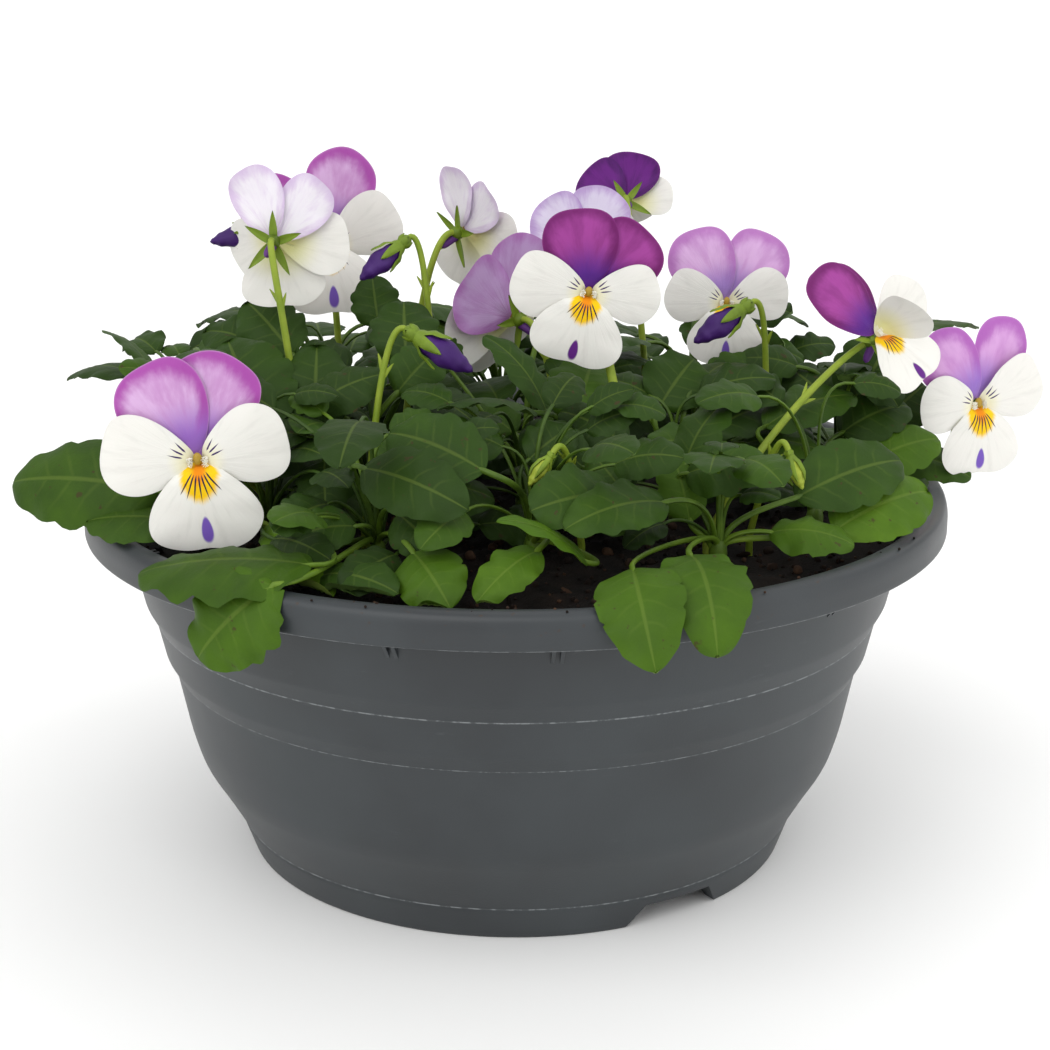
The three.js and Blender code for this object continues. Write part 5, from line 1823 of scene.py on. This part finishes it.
# %% [markdown]
# The petiole runs on under the blade as its midrib, so both are one tube that thins out toward
# the tip. It is a little flatter than it is wide, like the real one with its channel on top.

# %% One whole leaf
def add_leaf(shape, place, habit, tone):
    """Blade and petiole of one leaf."""
    frame_here = place["frame"]
    face = (frame_here.to_3x3() @ Vector((0, 0, 1))).normalized()

    def blade(u, w):
        v = 0.5 - 0.5 * math.cos(math.pi * w)
        spot = draped(frame_here @ blade_point(place, habit, u, v))
        return spot, (u, v), max(abs(2 * u - 1), abs(2 * v - 1) ** 2)

    add_blade(shape, *BLADE_GRID, blade, 0.5, face, (UPPER, UNDER), tone)
    path = petiole_path(place)
    under = [
        draped(frame_here @ blade_point(place, habit, 0.5, v)) - face * 0.35
        for v in (0.06, 0.14, 0.24, 0.36, 0.5, 0.65, 0.8)
    ]
    side = (frame_here.to_3x3() @ Vector((1, 0, 0))).normalized()
    whole = path + under
    thick = 0.55 if "filler" in place else 0.8

    def radius(share):
        i = share * (len(whole) - 1)
        past = max(0, (i - len(path) + 1) / len(under))
        wide = thick * (1.1 - 0.2 * min(1, i / len(path))) * (1 - 0.75 * past)
        return wide, 0.78 * wide

    add_tube(shape, whole, radius, 8, PETIOLE, 0.75 * tone, side)


print("petiole radius up to", PETIOLE_RADIUS, "mm")

# %% [markdown]
# No two leaves are alike. How much each one domes, waves and rolls, and how yellow it is, comes
# from a draw whose seed is the leaf's own place, so that it never changes with the others.

# %% What makes each leaf differ
def habit_of(place):
    """How this leaf differs from its sisters, drawn from where it starts."""
    own = random.Random(round(place["start"].x * 7 + place["start"].y * 13))
    habit = {"dome": own.uniform(0.2, 1.5), "wave": own.uniform(0.3, 1.2),
             "phase": own.uniform(0, 6.28), "roll": own.uniform(-0.2, 0.2)}
    if "dome" in place:
        habit |= {"dome": place["dome"], "roll": 0}
    return habit


def leaf_tone(place):
    """0 for the darkest leaves, 1 for the yellowest: lower and outer leaves are painted lighter, as
    lit, and smaller ones darker, as painted shade.
    """
    own = random.Random(round(place["start"].x * 11 + place["start"].y * 5))
    if "tone" in place:
        return place["tone"]
    # the smaller leaves are painted darker: a painted shade for the foliage they sit in
    if "filler" in place:
        return own.uniform(0.05, 0.42)
    # lower leaves are painted lighter: a painted light on the leaves that hang in front
    low = max(0, (116 - place["start"].z) / 16)
    return min(1, 0.12 + 0.36 * min(low, 1.2) + own.uniform(0, 0.25))


print("habit of leaf 0:", {key: round(value, 2) for key, value in habit_of(settled[0]).items()})

# %% [markdown]
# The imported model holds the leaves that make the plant's form. Between them the real plant is
# full of smaller ones, darker for the shade they sit in. They follow the golden angle round
# each shoot, and one is kept only where its blade crosses nothing that is there already.

# %% What a smaller leaf must clear
PLAIN_HABIT = {"dome": 0.8, "wave": 0, "phase": 0, "roll": 0}
VIEW_WAY = Vector((0, 0.96, -0.28))  # the way a viewer in front looks
HIDE_DISTANCE = 70  # mm


def sheet_tree(place):
    """The blade as a coarse sheet that can be tested for crossings."""
    rows = 8
    points, faces = [], []
    for j in range(rows + 1):
        for u in (0, 0.5, 1):
            spot = blade_point(place, PLAIN_HABIT, u, max(0.04, min(0.97, j / rows)))
            points.append(place["frame"] @ spot)
    for j in range(rows):
        for k in (3 * j, 3 * j + 1):
            faces.append((k, k + 1, k + 4, k + 3))
    return BVHTree.FromPolygons(points, faces)


def node_tree(node):
    """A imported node's surface in bowl millimetres, for crossings and rays."""
    into_mm = INTO_FRAME.inverted() @ frame["nodes"][node].matrix_world
    mesh = frame["nodes"][node].data
    points = [into_mm @ v.co for v in mesh.vertices]
    return BVHTree.FromPolygons(points, [tuple(face.vertices) for face in mesh.polygons])


def hides_bloom(place):
    """Whether the blade stands close before a bloom, for a viewer in front."""
    spots = [blade_point(place, PLAIN_HABIT, u, v) for u in (0, 0.5, 1) for v in (0.1, 0.5, 0.95)]
    for spot in spots:
        for petals in petal_trees:
            if petals.ray_cast(place["frame"] @ spot, VIEW_WAY, HIDE_DISTANCE)[0]:
                return True
    return False


petal_trees = [node_tree(node) for node in frame["nodes"] if node.endswith("_petals")]
print("petal nodes to keep in view:", len(petal_trees))

# %% [markdown]
# Fourteen smaller leaves are listed one by one where a gap would show. This point list is
# kept apart from the loop that fills in the rest.

# %% Smaller leaves listed one by one
PLACED_SMALL = [  # shoot, start of the blade, its tip, its width, the way its face looks
    ("b", (-46, -84, 99), (-27, -97, 99), 14, (0, -5, 8)),
    ("b", (-28, -80, 103), (-40, -94, 98), 12, (0, -6, 7)),
    ("a", (-58, -71, 104), (-43, -85, 103), 12, (0, -6, 7)),
    ("h", (15, -30, 123), (20, -14, 135), 20, (0, -8, 6)),
    ("h", (-17, -13, 132), (-24, -2, 138), 13, (0, -8, 5)),
    ("b", (-45, -65, 111), (-56, -78, 108), 12, (0, -7, 7)),
    ("c", (-12, -79, 113), (-22, -92, 108), 12, (0, -7, 7)),
    ("c", (3, -58, 120), (14, -50, 126), 13, (0, -7, 6)),
    ("g", (-52, -40, 116), (-60, -54, 116), 12, (0, -7, 7)),
    ("b", (-38, -74, 108), (-52, -76, 106), 12, (0, -6, 7)),
    ("j", (86, -2, 118), (74, 8, 128), 17, (0, -8, 5)),
    ("m", (62, 30, 122), (74, 22, 132), 16, (0, -8, 5)),
    ("i", (52, -2, 122), (66, 6, 130), 17, (0, -8, 5)),
    ("j", (100, 6, 114), (112, 14, 122), 16, (0, -8, 5)),
]
print("smaller leaves set by hand:", len(PLACED_SMALL))

# %% [markdown]
# The rest are tried one after another round each shoot, until it has as many as it should or
# has been tried often enough. A try that crosses anything or hides a bloom is given up.

# %% Filling the gaps
FILL_SEED = 77
FILLERS = {"a": 14, "b": 17, "c": 13, "d": 6, "e": 7, "f": 12, "g": 22, "h": 20, "i": 16, "j": 9,
           "k": 26, "l": 26, "m": 24}
TRIES = 24  # for each leaf wanted
FAR_SHOOTS = "klm"  # their leaves reach further, over the soil at the back
BARE = ((2, -88, 17), (70, -54, 19))  # patches of soil that stay open: x, y, radius
around = [node_tree(node) for node in frame["nodes"] if node != "pot"]
fill_draw = random.Random(FILL_SEED)
fillers = []
for i, leaf in enumerate(PLACED_SMALL):
    place = lay_out(leaf, i % 5, 0, 0, 1)
    place["filler"] = True
    fillers.append(place)
    around.append(sheet_tree(place))
for shoot, count in FILLERS.items():
    made = 0
    for i in range(TRIES * count):
        turn = math.radians(GOLDEN_ANGLE * i + fill_draw.uniform(-20, 20))
        out = Vector((math.cos(turn), math.sin(turn), 0))
        reach, rise = fill_draw.uniform(4, 27), fill_draw.uniform(0, 34)
        length = fill_draw.uniform(11, 24) * (1 - 0.4 * i / (TRIES * count))
        if shoot in FAR_SHOOTS and out.y > 0:
            reach, rise, length = 1.35 * reach, 0.7 * rise, 1.2 * length
        base = Vector((*CROWNS[shoot], NECK + rise)) + out * reach
        tip = base + out * length + UP * fill_draw.uniform(-6, 6)
        middle = base.lerp(tip, 0.5)
        open_soil = any(math.hypot(middle.x - x, middle.y - y) < r for x, y, r in BARE)
        if math.hypot(tip.x, tip.y) > 110 or open_soil:
            continue
        looks = (0.35 * out.x, 0.35 * out.y - 0.45, 0.8)
        place = lay_out((shoot, base, tip, 0.74 * length, looks), made % 9, 0, 0, 1)
        tree = sheet_tree(place)
        if any(tree.overlap(other) for other in around) or hides_bloom(place):
            continue
        place["filler"] = True
        fillers.append(place)
        around.append(tree)
        made += 1
        if made == count:
            break
print("smaller leaves:", len(fillers))

# %% [markdown]
# Six big leaves have sagged onto the rim or hang over it and one lies lower among the rest, a
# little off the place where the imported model's stiffer ones stand. Each shoot is then one
# piece: a short thick stem, its leaves, and the smaller leaves that grow from it.

# %% The leafy shoots
LAID = {  # leaf: start and tip of its blade, its width, the way its face looks, arch, dome, tone
    1: ((-81, -57, 104), (-106, -52, 103), 18, (-1, -3, 9), 0.06, 1.2, 0.4),
    2: ((-47, -90.5, 103.6), (-88, -84.5, 100), 30, (-0.5, -1, 9), 0.06, 1.4, 0.4),
    3: ((-55, -98.5, 101.5), (-73, -99, 84), 24, (-4, -7, 3), 0.12, 1, 0.5),
    4: ((26.5, -95, 104), (30.5, -121, 88.5), 20, (-1, -8, 6), 0.24, 0.6, 0.52),
    5: ((40, -89, 105.5), (44.5, -115, 90.5), 21, (1, -8, 6), 0.22, 0.6, 0.5),
    63: ((76, 5, 129), (60, 6, 131), 12, (-1, -5, 7), 0.12, 0.8, 0.2),
    25: ((103, 4, 104.5), (122, -5, 101), 16, (0, -4, 9), 0.1, 1, 0.35),
}
for number, (*leaf, arch, dome, tone) in LAID.items():
    upright = settled[number]
    settled[number] = lay_out((upright["shoot"], *leaf), upright["level"], 0, 0, 1)
    settled[number] |= {"arch": arch, "dome": dome, "tone": tone}
HEART = ((86.8, 2.1), (92, 2.25), (97, 2.3), (99.5, 2.2), (101, 1.7), (102, 0.8))  # height, radius
for shoot, (x, y) in CROWNS.items():
    shape = new_shape()
    heart = [Vector((x, y, z)) for z, _ in HEART]
    add_tube(shape, heart, lambda s: HEART[round(5 * s)][1], 10, PETIOLE, 0.3)
    for place in settled + fillers:
        if place["shoot"] == shoot:
            add_leaf(shape, place, habit_of(place), leaf_tone(place))
    keep(shape, f"leafy_shoot_{shoot}", LEAF_SKINS, [f"leafy_stem_{shoot}"])

# %% [markdown]
# ## Handing over
# The size before and after is written down, so that anyone can see that dressing the model
# did not make it grow.

# %% Size, and the end of the lesson
new_low, new_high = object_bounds()
growth = [round(1000 * float(b - a), 2) for a, b in zip(cad_high - cad_low, new_high - new_low)]
print("growth in mm:", growth)
